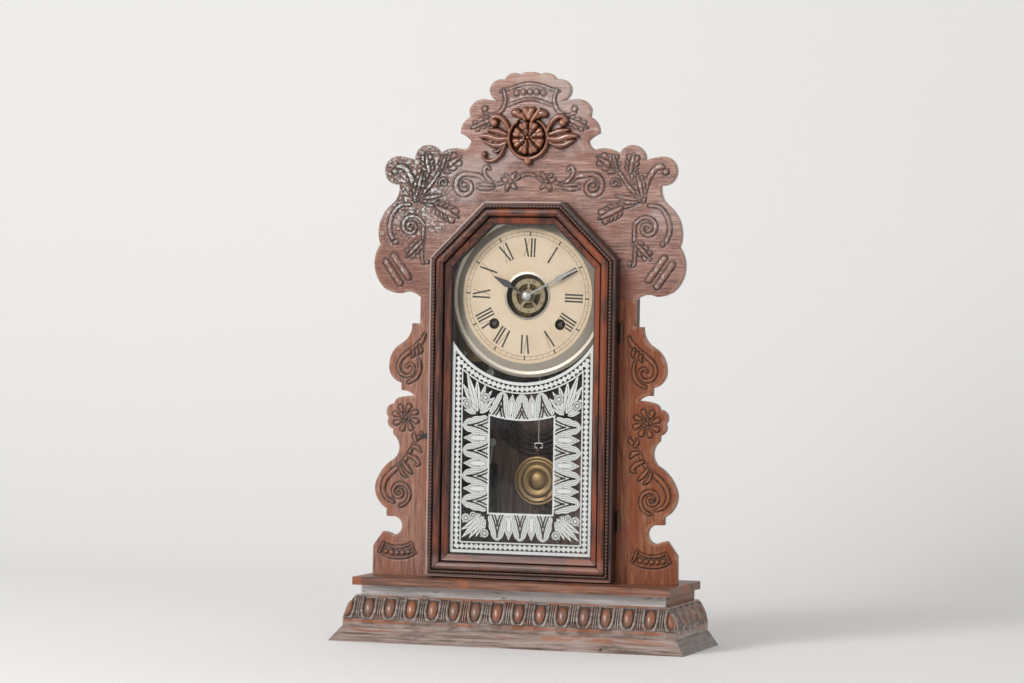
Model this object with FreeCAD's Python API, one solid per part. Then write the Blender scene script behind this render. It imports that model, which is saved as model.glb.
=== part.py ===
import FreeCAD, Part
import math
import os

from FreeCAD import Vector

# Pressed-wood table clock with a hinged glazed door, a time and strike movement, a coil gong and an alarm.
# Millimetres. Origin in the middle of the base's underside, +Z up, the dial looks along -Y.

# General
overrun = 2.0               # how far cutters pass the faces they cut
seat_gap = 0.3              # pieces of different bodies that nearly touch
pivot_gap = 0.05            # radial clearance of a running pivot

# Base
porch = 61.0                # from the plinth's foot to the front boards' face
plinth_h = 14.0
plinth_slope = 10.5
band_h = 7.0
egg_h = 23.0
egg_slope = 9.5
egg_bulge = 1.6
cap_fillet_h = 1.5
frieze_h = 10.5
frieze_setback = 6.0        # frieze behind the ends of the top board
frieze_t = 12.0
board_t = 8.0
board_nose = 11.5           # top board in front of the frieze
board_overhang = 4.6        # top board past the foot of the wings
plinth_spread = 20.0        # plinth's foot past the ends of the top board
band_setback = 11.5         # plain band behind the plinth's foot
back_rail_t = 12.0

# Front boards
panel_t = 8.0
wing_w = 75.9
wing_neck_w = 28.5
joint_drop = 2.8            # joint of wings and crest below the dial's centre
crest_over = 130.5          # crest's top above the door's
crest_half = 163.5

# Dial
dial_rise = 285.3           # dial centre above the base
dial_setback = 2.0
dial_paper_r = 68.0
dial_paper_t = 0.3
dial_sheet_t = 0.8
dial_cone_w = 8.0
dial_rim_w = 6.0
dial_cone_back = 5.0
dial_rim_back = 2.0
dial_hole_r = 22.0
eyelet_w = 2.3
eyelet_h = 0.6
winding_hole_r = 5.5
winding_x_share = 0.5103    # of the paper's radius
winding_drop_share = 0.4162
dial_gap = 2.5              # front boards clear of the dial's rim
strip_cover = 4.0           # dial strips behind the rim
strip_t = 10.0
strip_half_h = 50.0

# Case box
case_lip = 2.5
case_side_t = 10.0
case_top_t = 9.0
back_board_t = 7.0

# Door
door_gap = 1.0              # door's back in front of the boards
door_foot_gap = 1.5
sight_cover = 7.5           # door's lip in front of the dial's rim
sight_rise = 71.2           # sight edge above the dial centre
door_cut = 56.5             # shoulder cut along both edges
door_edge_h = 16.0          # outer edge, front to back
door_fillet_w = 3.5
bead_r = 1.5
bead_lift = 1.5             # bead's springing above the door's edge
roll_w = 8.5
roll_rise = 4.0
quirk_w = 1.5
slope_w = 6.5
lip_h = 13.0                # lip in front of the door's back
lip_t = 1.2
rabbet_w = 5.0
glass_t = 2.0
glass_play = 0.5
bead_strip_t = 4.0

# Hinges and catch
hinge_l = 20.0
barrel_r = 2.0
hinge_pin_r = 0.8
leaf_t = 0.4
leaf_w = 10.0
knuckle_share = 0.3
knuckle_gap = 0.15
barrel_out = 2.3            # hinge axis past the door's edge
upper_hinge_drop = 73.0     # below the door's shoulder
lower_hinge_rise = 60.5     # above the door's foot
catch_out = 6.0             # catch pivot past the door's edge
catch_rise = 142.0
catch_point = 9.0
catch_tail = 3.6
catch_half_h = 4.0
catch_t = 1.6
catch_pin_r = 1.2
catch_pin_depth = 6.0
catch_collar_r = 2.4
catch_lip = 1.6             # door left behind the slot that the catch enters
catch_room = 0.4
leaf_gap = 0.2              # between barrels and boards, collars and boards

# Movement frame
plate_t = 1.6
plate_room = 3.0            # plates clear of the dial strips
plate_corner = 5.0
plate_front = 12.4          # front plate behind the front boards' face
plate_space = 27.4
pillar_r = 3.0
pillar_neck_r = 2.0
pillar_side = 5.0           # pillars in from the plates' sides
pillar_end = 7.5            # pillars in from the plates' ends
pillar_over = 3.5           # upper pillars above the verge
pillar_under = 31.2         # lower pillars below the winding arbors
pillar_in = 10.0            # upper pillars nearer the middle than the lower ones
pillar_head_t = 1.0
seat_post_r = 3.5
arbor_r = 1.6
thin_arbor_r = 0.9
pivot_r = 0.7
pivot_shoulder = 0.3

# Wheels: teeth and trundles, with the module of each mesh
great_teeth = 84
centre_leaves = 7
centre_teeth = 76
third_leaves = 7
third_teeth = 78
escape_leaves = 7
escape_teeth = 30
pin_leaves = 7
pin_teeth = 60
fly_leaves = 6
cannon_leaves = 10
minute_teeth = 30
minute_leaves = 8
hour_teeth = 32
centre_module = 0.7
third_module = 0.6
pin_module = 0.5
motion_module = 0.8
tooth_root_share = 0.85     # shares of the module
tooth_tip_share = 0.75
root_half_share = 0.8
tip_half_share = 0.3
trundle_share = 0.5
shroud_share = 0.9
wheel_t = 1.2
great_t = 2.0
shroud_t = 0.5
mesh_gap = 0.3              # between a wheel and the shrouds beside it
rim_w = 3.0
hub_r = 4.0
arms = 5
arm_w = 3.0
hub_l = 3.0

# Depths behind the front plate's back face
great_depth = 1.0
spring_depth = 4.4
spring_w = 14.2
centre_depth = 20.2
third_depth = 6.0
escape_depth = 12.0
strike_depth = 23.6
pin_depth = 15.0
fly_depth = 2.0
fly_l = 11.0

# Time train
escape_rise = 38.0          # escape arbor above the centre arbor
escape_r = 15.0
escape_root_share = 0.78
escape_rake_share = 0.35
verge_rise = 21.0           # verge above the escape arbor
pallet_gap = 1.8
pallet_t = 2.0
pallet_angle = 50.0
verge_neck_w = 4.0
verge_hub_r = 2.6
crutch_l = 32.0
crutch_w = 2.0
crutch_t = 0.8
crutch_loop_l = 6.0

# Springs and winding
spring_in_r = 2.75
spring_band_t = 0.5
spring_turns = 8
spring_pitch = 2.85
spring_post_r = 2.5
spring_post_angle = -45.0
winding_r = 2.4
square_w = 3.4
square_l = 6.0
square_proud = 0.4          # square's end in front of the dial sheet's back
ratchet_teeth = 16
ratchet_r = 8.0
ratchet_depth = 1.4
ratchet_t = 0.8
click_w = 2.2
click_l = 9.0

# Hands
hour_pipe_r = 3.0
pipe_bore_r = arbor_r + pivot_gap
hand_t = 0.8
hour_hand_front = 2.8       # in front of the dial paper
minute_hand_front = 5.0
hour_hand_l = 40.0
hour_hand_w = 7.0
hour_wide_share = 0.62
minute_hand_l = 60.0
minute_hand_w = 5.0
minute_wide_share = 0.62
hand_stem_w = 2.0
hand_tip_w = 0.8
hand_eye_r = 5.0
minute_eye_r = 4.0
hour_angle = 299.0          # clockwise from twelve
minute_angle = 62.0
nut_r = 5.5
nut_h = 2.6
alarm_disc_r = 18.7
alarm_disc_t = 1.0
alarm_sleeve_r = 4.6
alarm_sleeve_l = 3.0
alarm_setback = 3.6         # disc's face behind the dial paper's
alarm_window_in_r = 7.2
alarm_window_out_r = 11.0
alarm_window_angle = 50.0

# Pendulum
pendulum_back = 5.0         # rod behind the back plate
rod_r = 0.9
bob_r = 26.0
bob_t = 9.0
bob_drop = 247.0            # bob's centre below the suspension
bob_step_shares = [1.0, 0.8, 0.72, 0.46, 0.38, 0.14]
bob_step_h = 0.8
bob_edge_share = 0.3        # of the bob's thickness
suspension_w = 5.0
suspension_t = 0.4
suspension_l = 12.0
suspension_up = 3.0
cock_w = 14.0
cock_h = 9.0
cock_t = 1.6
hook_r = 4.0
hook_wire_r = 1.2
hook_neck_r = 0.9
hook_neck_l = 2.0

# Strike
strike_angle = 100.0        # pin arbor seen from the strike arbor, degrees from +X
fly_angle = 60.0
lifting_pins = 8
lifting_pin_r = 0.6
lifting_circle_share = 0.74
fly_half_w = 8.0
fly_t = 0.6
hammer_in = 9.0             # hammer arbor in from the plates' side
hammer_up = 8.7
hammer_tail_gap = 0.8
hammer_arm_w = 2.4
hammer_rod_r = 1.0
hammer_collar_r = 2.4
hammer_collar_half_l = 1.8
hammer_head_r = 4.0
hammer_head_l = 10.0
hammer_gap = 1.2
gong_x = -10.0
gong_rise = 171.0           # gong's centre above the base
gong_in_r = 24.0
gong_pitch = 5.0
gong_half_turns = 10
gong_wire_r = 1.3
gong_back = 12.0            # wire's axis behind the pendulum's
gong_off = 8.0              # wire's axis in front of the back board
gong_lead = 2.6
gong_block_h = 4.0
gong_block_w = 4.4
gong_foot_r = 9.0
gong_foot_t = 2.0
gong_side_angle = 140.0     # where the hour hammer meets the coil

# Alarm unit
alarm_room = 7.0            # between the alarm's frame and the case's side
alarm_rise = 82.0
alarm_half_w = 15.0
alarm_half_h = 31.0
alarm_off = 20.0            # front plate in front of the back board
alarm_plate_t = 1.2
alarm_pillar_r = 2.0
alarm_drum_r = 10.0
alarm_arbor_r = 2.0
alarm_key_half_w = 7.0
alarm_key_l = 8.0
alarm_hammer_up = 24.0
alarm_pillar_drop = 22.0    # right upper pillar below the frame's top
alarm_hammer_out = 9.0
alarm_side_angle = 220.0

# Rosette on the crest
rosette_drop = 66.0         # flower's centre below the crest's top
flower_r = 17.0
flower_h = 6.0
petals = 8
petal_r = 5.4
petal_ring_r = 11.0
petal_share = 0.62
eye_r = 4.5
eye_h = 9.0
scroll_r = 22.5
scroll_tube_r = 3.2
ball_r = 5.0
leaf_l = 17.0
leaf_half_w = 5.0
leaf_h = 6.0
ball_x = 36.0
ball_up = 16.0
side_leaf_x = 42.0
top_leaf_up = 25.0

# Outline of half the crest as (via, end) shares of crest_half and crest_h, from the top's middle
crest_shares = [
    ((0.034, 1.0), (0.066, 0.99)),
    ((0.113, 0.997), (0.165, 0.967)),
    ((0.231, 0.96), (0.262, 0.923)),
    ((0.247, 0.892), (0.204, 0.873)),
    ((0.257, 0.879), (0.306, 0.882)),
    ((0.364, 0.865), (0.391, 0.835)),
    (None, (0.385, 0.803)),
    ((0.427, 0.778), (0.445, 0.73)),
    ((0.407, 0.716), (0.376, 0.697)),
    ((0.389, 0.674), (0.424, 0.658)),
    ((0.508, 0.663), (0.579, 0.64)),
    ((0.658, 0.679), (0.741, 0.611)),
    ((0.786, 0.621), (0.845, 0.629)),
    ((0.914, 0.61), (0.939, 0.565)),
    ((0.913, 0.519), (0.843, 0.502)),
    ((0.848, 0.457), (0.888, 0.416)),
    ((0.964, 0.341), (0.963, 0.234)),
    ((1.0, 0.149), (0.924, 0.036)),
    ((0.878, 0.022), (0.826, 0.016)),
]
crest_foot_via_share = (0.746, 0.022)

# Outer edge of a wing from its neck down, as shares of wing_w and wing_h
wing_shares = [
    (None, (0.375, 0.906)),
    (None, (0.491, 0.906)),
    ((0.52, 0.867), (0.619, 0.837)),
    ((0.764, 0.8), (0.809, 0.756)),
    ((0.764, 0.714), (0.631, 0.692)),
    (None, (0.628, 0.664)),
    ((0.527, 0.661), (0.441, 0.646)),
    ((0.56, 0.644), (0.672, 0.637)),
    ((0.71, 0.629), (0.729, 0.617)),
    ((0.83, 0.598), (0.808, 0.566)),
    ((0.817, 0.544), (0.739, 0.525)),
    (None, (0.734, 0.505)),
    ((0.65, 0.469), (0.718, 0.418)),
    ((0.893, 0.376), (0.986, 0.318)),
    ((0.937, 0.268), (0.814, 0.238)),
    (None, (0.813, 0.211)),
    (None, (0.734, 0.21)),
    ((0.592, 0.176), (0.723, 0.144)),
    ((0.794, 0.152), (0.858, 0.155)),
    (None, (0.995, 0.104)),
    (None, (1.0, 0.0)),
]

# Levels and depths worked out from the sizes above
carcass_h = plinth_h + band_h + egg_h + cap_fillet_h + frieze_h
base_h = carcass_h + board_t
dial_z = base_h + dial_rise
winding_x = winding_x_share * dial_paper_r
winding_drop = winding_drop_share * dial_paper_r
joint_z = dial_z - joint_drop
wing_h = joint_z - base_h
rim_r = dial_paper_r + dial_cone_w + dial_rim_w
opening_half = rim_r + dial_gap
case_in = opening_half + case_lip
case_out = case_in + case_side_t
wing_foot = opening_half + wing_w
neck_half = opening_half + wing_neck_w
board_half = wing_foot + board_overhang
base_half = board_half + plinth_spread
frieze_half = board_half - frieze_setback
case_depth = plate_front + 2 * plate_t + plate_space + pendulum_back + gong_back + gong_off + back_board_t
base_depth = porch + case_depth
back_y = base_depth / 2
panel_y = porch - back_y
panel_back = panel_y + panel_t
frieze_y = base_half - back_y - frieze_half
board_y = frieze_y - board_nose
back_board_y = back_y - back_board_t
case_top_z = dial_z + opening_half + case_lip
case_roof_z = case_top_z + case_top_t
paper_y = panel_y + dial_setback
sheet_y = paper_y + dial_paper_t
sheet_back = sheet_y + dial_sheet_t
rim_back = sheet_back + dial_cone_back + dial_rim_back
door_w = door_fillet_w + 2 * bead_r + roll_w + quirk_w + slope_w
door_half = rim_r - sight_cover + door_w
door_back = panel_y - door_gap
door_foot = base_h + door_foot_gap
door_top = dial_z + sight_rise + door_w
door_shoulder = door_top - door_cut
crest_h = door_top + crest_over - joint_z
hinge_x = door_half + barrel_out
hinge_y = panel_y - barrel_r - leaf_gap
front_y = panel_y + plate_front
inner_y = front_y + plate_t
rear_y = inner_y + plate_space
plate_back = rear_y + plate_t
rod_y = plate_back + pendulum_back
strip_in = rim_r - strip_cover
plate_half = strip_in - plate_room
pillar_x = plate_half - pillar_side
pillar_up = escape_rise + verge_rise + pillar_over
pillar_down = winding_drop + pillar_under
alarm_x = alarm_room + alarm_half_w - case_in
great_module = 2 * math.hypot(winding_x, winding_drop) / (great_teeth + centre_leaves)
winding_z = dial_z - winding_drop


def point(x, y, z):
    return Vector(x, y, z)


def polar(centre, radius, degrees):
    angle = math.radians(degrees)
    return centre[0] + radius * math.cos(angle), centre[1] + radius * math.sin(angle)


def block(x0, x1, y0, y1, z0, z1):
    return Part.makeBox(x1 - x0, y1 - y0, z1 - z0, point(x0, y0, z0))


def rod_along_y(centre, radius, y0, y1):
    return Part.makeCylinder(radius, y1 - y0, point(centre[0], y0, centre[1]), Vector(0, 1, 0))


def outline(start, steps, y):
    # steps are (via, end) pairs in X and Z; without a via the edge is straight
    edges = []
    here = start
    for via, end in steps:
        a = point(here[0], y, here[1])
        b = point(end[0], y, end[1])
        if via is None:
            edges.append(Part.LineSegment(a, b).toShape())
        else:
            edges.append(Part.Arc(a, point(via[0], y, via[1]), b).toShape())
        here = end
    return Part.Wire(edges)


def polygon(points, y):
    corners = [point(x, y, z) for x, z in points]
    return Part.makePolygon(corners + corners[:1])


def slab(wires, y0, y1):
    # a plate between two depths from its outer wire and the wires of its holes, all drawn at y0
    face = Part.makeFace(wires, "Part::FaceMakerBullseye")
    return face.extrude(Vector(0, y1 - y0, 0))


def circle(centre, radius, y):
    return Part.Wire(Part.makeCircle(radius, point(centre[0], y, centre[1]), Vector(0, 1, 0)))


def turned(profile, centre):
    # profile is (radius, y) points; turned about the line through centre along Y
    corners = [point(centre[0] + r, y, centre[1]) for r, y in profile]
    face = Part.Face(Part.makePolygon(corners + corners[:1]))
    return face.revolve(point(centre[0], 0, centre[1]), Vector(0, 1, 0), 360)


def mirrored(shape):
    return shape.mirror(Vector(0, 0, 0), Vector(1, 0, 0))


def along(start, end, radius):
    return Part.makeCylinder(radius, (end - start).Length, start, end - start)


# Base


def base_wedge(side):
    # the room of one mitred strip: the front one, or the one on the right
    inner = frieze_half - frieze_t
    inner_front = frieze_y + frieze_t
    if side == "front":
        corners = [(-base_half, -back_y), (base_half, -back_y), (inner, inner_front), (-inner, inner_front)]
    else:
        corners = [(base_half, -back_y), (base_half, back_y), (inner, back_y), (inner, inner_front)]
    flat = [point(x, y, 0) for x, y in corners]
    face = Part.Face(Part.makePolygon(flat + flat[:1]))
    return face.extrude(Vector(0, 0, carcass_h))


def base_strips(steps, start):
    # a moulding along the front and both sides; its section is drawn in distance out and height
    strips = []
    for side in ("front", "right"):
        edges = []
        here = start
        for via, end in steps:
            if side == "front":
                place = [point(-base_half, frieze_y - out, z) for out, z in (here, via or end, end)]
            else:
                place = [point(frieze_half + out, -back_y, z) for out, z in (here, via or end, end)]
            if via is None:
                edges.append(Part.LineSegment(place[0], place[2]).toShape())
            else:
                edges.append(Part.Arc(place[0], place[1], place[2]).toShape())
            here = end
        face = Part.Face(Part.Wire(edges))
        run = Vector(2 * base_half, 0, 0) if side == "front" else Vector(0, base_depth, 0)
        strips.append(face.extrude(run).common(base_wedge(side)))
    front, right = strips
    return front, Part.makeCompound([mirrored(right), right])


def straight_steps(points):
    return [(None, p) for p in points[1:] + points[:1]]


def make_base():
    foot = base_half - frieze_half
    band = foot - band_setback
    band_z = plinth_h + band_h
    egg_z = band_z + egg_h
    cap_z = egg_z + cap_fillet_h
    egg_top = band - egg_slope
    plinth = [(0, 0), (foot, 0), (foot - plinth_slope, plinth_h), (0, plinth_h)]
    plinth_front, plinth_sides = base_strips(straight_steps(plinth), plinth[0])
    bulge = ((band + egg_top) / 2 + egg_bulge, (band_z + egg_z) / 2)
    egg_steps = [
        (None, (band, plinth_h)),
        (None, (band, band_z)),
        (bulge, (egg_top, egg_z)),
        (None, (egg_top, cap_z)),
        (None, (0, cap_z)),
        (None, (0, plinth_h)),
    ]
    egg_front, egg_sides = base_strips(egg_steps, (0, plinth_h))
    frieze = [(-frieze_t, 0), (0, 0), (0, carcass_h), (-frieze_t, carcass_h)]
    frieze_front, frieze_sides = base_strips(straight_steps(frieze), frieze[0])
    inner = frieze_half - frieze_t
    return {
        "plinth_front": plinth_front,
        "plinth_sides": plinth_sides,
        "egg_moulding_front": egg_front,
        "egg_moulding_sides": egg_sides,
        "base_frieze_front": frieze_front,
        "base_frieze_sides": frieze_sides,
        "base_back_rail": block(-inner, inner, back_y - back_rail_t, back_y, 0, carcass_h),
        "base_top_board": block(-board_half, board_half, board_y, back_y, carcass_h, base_h),
    }


# Case box and front boards


def make_case():
    side = block(case_in, case_out, panel_back, back_board_y, base_h, case_roof_z)
    return {
        "case_sides": Part.makeCompound([mirrored(side), side]),
        "case_top": block(-case_in, case_in, panel_back, back_board_y, case_top_z, case_roof_z),
        "back_board": block(-case_out, case_out, back_board_y, back_y, base_h, case_roof_z),
    }


def opening_corners():
    # the octagonal head of the opening behind the door, down to the boards' joint
    cut = opening_half * math.tan(math.radians(22.5))
    return [
        (-opening_half, joint_z),
        (-opening_half, dial_z + cut),
        (-cut, dial_z + opening_half),
        (cut, dial_z + opening_half),
        (opening_half, dial_z + cut),
        (opening_half, joint_z),
    ]


def crest_point(share):
    return share[0] * crest_half, joint_z + share[1] * crest_h


def make_crest():
    right = []
    for via, end in crest_shares:
        right.append((crest_point(via) if via else None, crest_point(end)))
    right.append((crest_point(crest_foot_via_share), (neck_half, joint_z)))
    top = (0, joint_z + crest_h)
    back_up = []
    ends = [top] + [end for via, end in right]
    for (via, end), begin in zip(reversed(right), reversed(ends[:-1])):
        flipped = (-via[0], via[1]) if via else None
        back_up.append((flipped, (-begin[0], begin[1])))
    inside = [(None, p) for p in reversed(opening_corners())] + [(None, (-neck_half, joint_z))]
    wire = outline(top, right + inside + back_up, panel_y)
    return slab([wire], panel_y, panel_back)


def make_wing():
    steps = [(None, (neck_half, joint_z))]
    for via, end in wing_shares:
        places = []
        for share in (via, end):
            places.append((opening_half + share[0] * wing_w, base_h + share[1] * wing_h) if share else None)
        steps.append(tuple(places))
    steps[1] = (None, (neck_half, steps[1][1][1]))
    start = (opening_half, joint_z)
    wire = outline(start, steps + [(None, (opening_half, base_h)), (None, start)], panel_y)
    return slab([wire], panel_y, panel_back)


# Rosette: a flower in an open scroll with leaves, flat at its back


def dome(x, z, radius, height):
    ball = Part.makeSphere(radius)
    scale = FreeCAD.Matrix()
    scale.scale(1, height / radius, 1)
    return ball.transformGeometry(scale).translated(point(x, panel_y, z))


def leaf(x, z, degrees):
    ball = Part.makeSphere(leaf_half_w)
    scale = FreeCAD.Matrix()
    scale.scale(leaf_l / (2 * leaf_half_w), leaf_h / leaf_half_w, 1)
    shape = ball.transformGeometry(scale)
    shape.rotate(Vector(0, 0, 0), Vector(0, -1, 0), degrees)
    return shape.translated(point(x, panel_y, z))


def make_rosette():
    z = joint_z + crest_h - rosette_drop
    body = rod_along_y((0, z), flower_r, panel_y - flower_h, panel_y)
    for k in range(petals):
        x, up = polar((0, z), petal_ring_r, 360 * k / petals)
        body = body.fuse(dome(x, up, petal_r, flower_h / petal_share))
    body = body.fuse(dome(0, z, eye_r, eye_h))
    ring = Part.makeTorus(scroll_r, scroll_tube_r, Vector(0, 0, 0), Vector(0, 1, 0))
    ring.translate(point(0, panel_y - scroll_tube_r / 2, z))
    mouth = rod_along_y((0, z + scroll_r), scroll_r / 2, panel_y - eye_h, panel_y + eye_h)
    body = body.fuse(ring.cut(mouth))
    body = body.fuse(dome(0, z - scroll_r, ball_r, eye_h))
    for side in (-1, 1):
        body = body.fuse(dome(side * ball_x, z + ball_up, ball_r, leaf_h))
        body = body.fuse(leaf(side * (ball_x + scroll_r) / 2, z + ball_up, 90 - side * 70))
        body = body.fuse(leaf(side * side_leaf_x, z, 0))
        body = body.fuse(leaf(side * (scroll_r + leaf_l / 2), z, 0))
        body = body.fuse(leaf(side * (scroll_r + leaf_half_w), z + ball_r, 90 - side * 60))
        body = body.fuse(leaf(side * leaf_half_w, z + top_leaf_up, 90 - side * 25))
    body = body.fuse(leaf(0, z + top_leaf_up, 90))
    spread = side_leaf_x + leaf_l
    front_room = block(-spread, spread, panel_y - 2 * eye_h, panel_y, z - spread, z + spread)
    return body.common(front_room)


# Door


def door_corners():
    return [
        (-door_half, door_foot),
        (door_half, door_foot),
        (door_half, door_shoulder),
        (door_half - door_cut, door_top),
        (-door_half + door_cut, door_top),
        (-door_half, door_shoulder),
    ]


def inset(corners, distance):
    # moves every side of a counterclockwise outline inwards
    moved = []
    count = len(corners)
    for k in range(count):
        a, b, c = corners[k - 1], corners[k], corners[(k + 1) % count]
        d1 = math.atan2(b[1] - a[1], b[0] - a[0])
        d2 = math.atan2(c[1] - b[1], c[0] - b[0])
        half = (d2 - d1) / 2
        reach = distance / math.cos(half)
        middle = d1 + half + math.pi / 2
        if half < -math.pi / 2:
            reach = distance / math.cos(half + math.pi)
            middle = middle + math.pi
        moved.append((b[0] + reach * math.cos(middle), b[1] + reach * math.sin(middle)))
    return moved


def door_section():
    # (inward distance, height in front of the door's back), as (via, end) steps
    bead_x = door_fillet_w + bead_r
    roll_x = door_fillet_w + 2 * bead_r
    quirk_x = roll_x + roll_w
    slope_x = quirk_x + quirk_w
    shoulder_h = door_edge_h - quirk_w
    bead_h = door_edge_h + bead_lift
    rabbet_x = door_w - rabbet_w
    glass_front = lip_h - lip_t
    return (0, 0), [
        (None, (0, door_edge_h)),
        (None, (door_fillet_w, door_edge_h)),
        (None, (door_fillet_w, bead_h)),
        ((bead_x, bead_h + bead_r), (roll_x, bead_h)),
        (None, (roll_x, door_edge_h)),
        ((roll_x + roll_w / 2, door_edge_h + roll_rise), (quirk_x, door_edge_h)),
        (None, (quirk_x, shoulder_h)),
        (None, (slope_x, door_edge_h)),
        (None, (door_w, lip_h)),
        (None, (door_w, glass_front)),
        (None, (rabbet_x, glass_front)),
        (None, (rabbet_x, 0)),
        (None, (0, 0)),
    ]


def door_member(index):
    corners = door_corners()
    inner = inset(corners, door_w)
    after = (index + 1) % len(corners)
    a, b = corners[index], corners[after]
    length = math.hypot(b[0] - a[0], b[1] - a[1])
    along_x, along_z = (b[0] - a[0]) / length, (b[1] - a[1]) / length
    start, steps = door_section()
    edges = []
    here = start
    for via, end in steps:
        places = []
        for s, h in (here, via or end, end):
            places.append(point(a[0] - along_z * s, door_back - h, a[1] + along_x * s))
        if via is None:
            edges.append(Part.LineSegment(places[0], places[2]).toShape())
        else:
            edges.append(Part.Arc(places[0], places[1], places[2]).toShape())
        here = end
    run = Vector(along_x * length, 0, along_z * length)
    bar = Part.Face(Part.Wire(edges)).extrude(run)
    tall = door_edge_h + roll_rise + overrun
    room = slab([polygon([a, b, inner[after], inner[index]], door_back - tall)], door_back - tall, door_back)
    # longer bars are needed where a mitre opens outwards, which none of these corners does
    return bar.common(room)


def catch_centre():
    return -door_half - catch_out, base_h + catch_rise


def make_door():
    names = ["rail_bottom", "stile_right", "diagonal_right", "rail_top", "diagonal_left", "stile_left"]
    door = {}
    for index, name in enumerate(names):
        door["door_" + name] = door_member(index)
    x, z = catch_centre()
    slot_back = door_back - catch_lip
    slot_front = slot_back - catch_t - 2 * catch_room
    slot = rod_along_y((x, z), catch_point + catch_room, slot_front, slot_back)
    door["door_stile_left"] = door["door_stile_left"].cut(slot)
    diagonals = [door.pop("door_diagonal_left"), door.pop("door_diagonal_right")]
    door["door_diagonals"] = Part.makeCompound(diagonals)
    edge = inset(door_corners(), door_w - rabbet_w + glass_play)
    sight = inset(door_corners(), door_w)
    glass_front = door_back - lip_h + lip_t
    glass_back = glass_front + glass_t
    door["door_glass"] = slab([polygon(edge, glass_front)], glass_front, glass_back)
    strip_edge = inset(door_corners(), door_w - rabbet_w)
    bead_wires = [polygon(strip_edge, glass_back), polygon(sight, glass_back)]
    door["glass_beads"] = slab(bead_wires, glass_back, glass_back + bead_strip_t)
    return door


def make_hinges():
    case_leaves, door_leaves, pins = [], [], []
    end_l = knuckle_share * hinge_l
    for middle in (door_shoulder - upper_hinge_drop, door_foot + lower_hinge_rise):
        low = middle - hinge_l / 2
        high = low + hinge_l
        pins.append(Part.makeCylinder(hinge_pin_r, hinge_l, point(hinge_x, hinge_y, low)))
        tight = Part.makeCylinder(hinge_pin_r, hinge_l, point(hinge_x, hinge_y, low))
        loose = Part.makeCylinder(hinge_pin_r + pivot_gap, hinge_l, point(hinge_x, hinge_y, low))
        plate_edge = hinge_x - barrel_r - seat_gap
        case_leaf = block(plate_edge - leaf_w, plate_edge, panel_y - leaf_t, panel_y, low, high)
        for z0, z1 in ((low, low + end_l), (high - end_l, high)):
            tongue = block(plate_edge, hinge_x, panel_y - leaf_t, panel_y, z0, z1)
            barrel = Part.makeCylinder(barrel_r, z1 - z0, point(hinge_x, hinge_y, z0))
            case_leaf = case_leaf.fuse([tongue, barrel])
        case_leaves.append(case_leaf.cut(tight))
        z0, z1 = low + end_l + knuckle_gap, high - end_l - knuckle_gap
        door_leaf = block(plate_edge - leaf_w, plate_edge, door_back, door_back + leaf_t, low, high)
        tongue = block(plate_edge, hinge_x, door_back, door_back + leaf_t, z0, z1)
        barrel = Part.makeCylinder(barrel_r, z1 - z0, point(hinge_x, hinge_y, z0))
        door_leaves.append(door_leaf.fuse([tongue, barrel]).cut(loose))
    return {
        "hinge_leaves_case": Part.makeCompound(case_leaves),
        "hinge_leaves_door": Part.makeCompound(door_leaves),
        "hinge_pins": Part.makeCompound(pins),
    }


def make_catch():
    x, z = catch_centre()
    back = door_back - catch_lip - catch_room
    tail = catch_tail
    corners = [(x - catch_point, z), (x + tail, z - catch_half_h), (x + tail, z + catch_half_h)]
    plate = slab([polygon(corners, back - catch_t)], back - catch_t, back)
    pin = rod_along_y((x, z), catch_pin_r, back - catch_t, panel_y + catch_pin_depth)
    collar = rod_along_y((x, z), catch_collar_r, back, panel_y - leaf_gap)
    return plate.fuse([pin, collar])


# Dial


def make_dial():
    centre = (0, dial_z)
    cone_r = dial_paper_r + dial_cone_w
    cone_y = sheet_y + dial_cone_back
    pan = turned(
        [
            (dial_hole_r, sheet_y),
            (dial_paper_r, sheet_y),
            (cone_r, cone_y),
            (rim_r - dial_rim_w / 2, cone_y - dial_rim_back / 2),
            (rim_r, cone_y + dial_rim_back / 2),
            (rim_r, rim_back),
            (rim_r - dial_sheet_t, rim_back),
            (rim_r - dial_rim_w / 2, cone_y + dial_sheet_t),
            (cone_r, cone_y + dial_sheet_t),
            (dial_paper_r - dial_sheet_t, sheet_back),
            (dial_hole_r, sheet_back),
        ],
        centre,
    )
    paper = slab(
        [
            circle(centre, dial_paper_r, paper_y),
            circle(centre, dial_hole_r + eyelet_w, paper_y),
            circle((-winding_x, winding_z), winding_hole_r, paper_y),
            circle((winding_x, winding_z), winding_hole_r, paper_y),
        ],
        paper_y,
        sheet_y,
    )
    for side in (-1, 1):
        pan = pan.cut(rod_along_y((side * winding_x, winding_z), winding_hole_r, paper_y, rim_back))
    eyelet = turned(
        [
            (dial_hole_r, sheet_y),
            (dial_hole_r, sheet_y - eyelet_h),
            (dial_hole_r + eyelet_w, sheet_y - dial_paper_t),
            (dial_hole_r + eyelet_w, sheet_y),
        ],
        centre,
    )
    low, high = dial_z - strip_half_h, dial_z + strip_half_h
    strip = block(strip_in, case_in, rim_back, rim_back + strip_t, low, high)
    return {
        "dial_pan": pan,
        "dial_paper": paper,
        "dial_eyelet": eyelet,
        "dial_strips": Part.makeCompound([mirrored(strip), strip]),
    }


# Wheels


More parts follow.
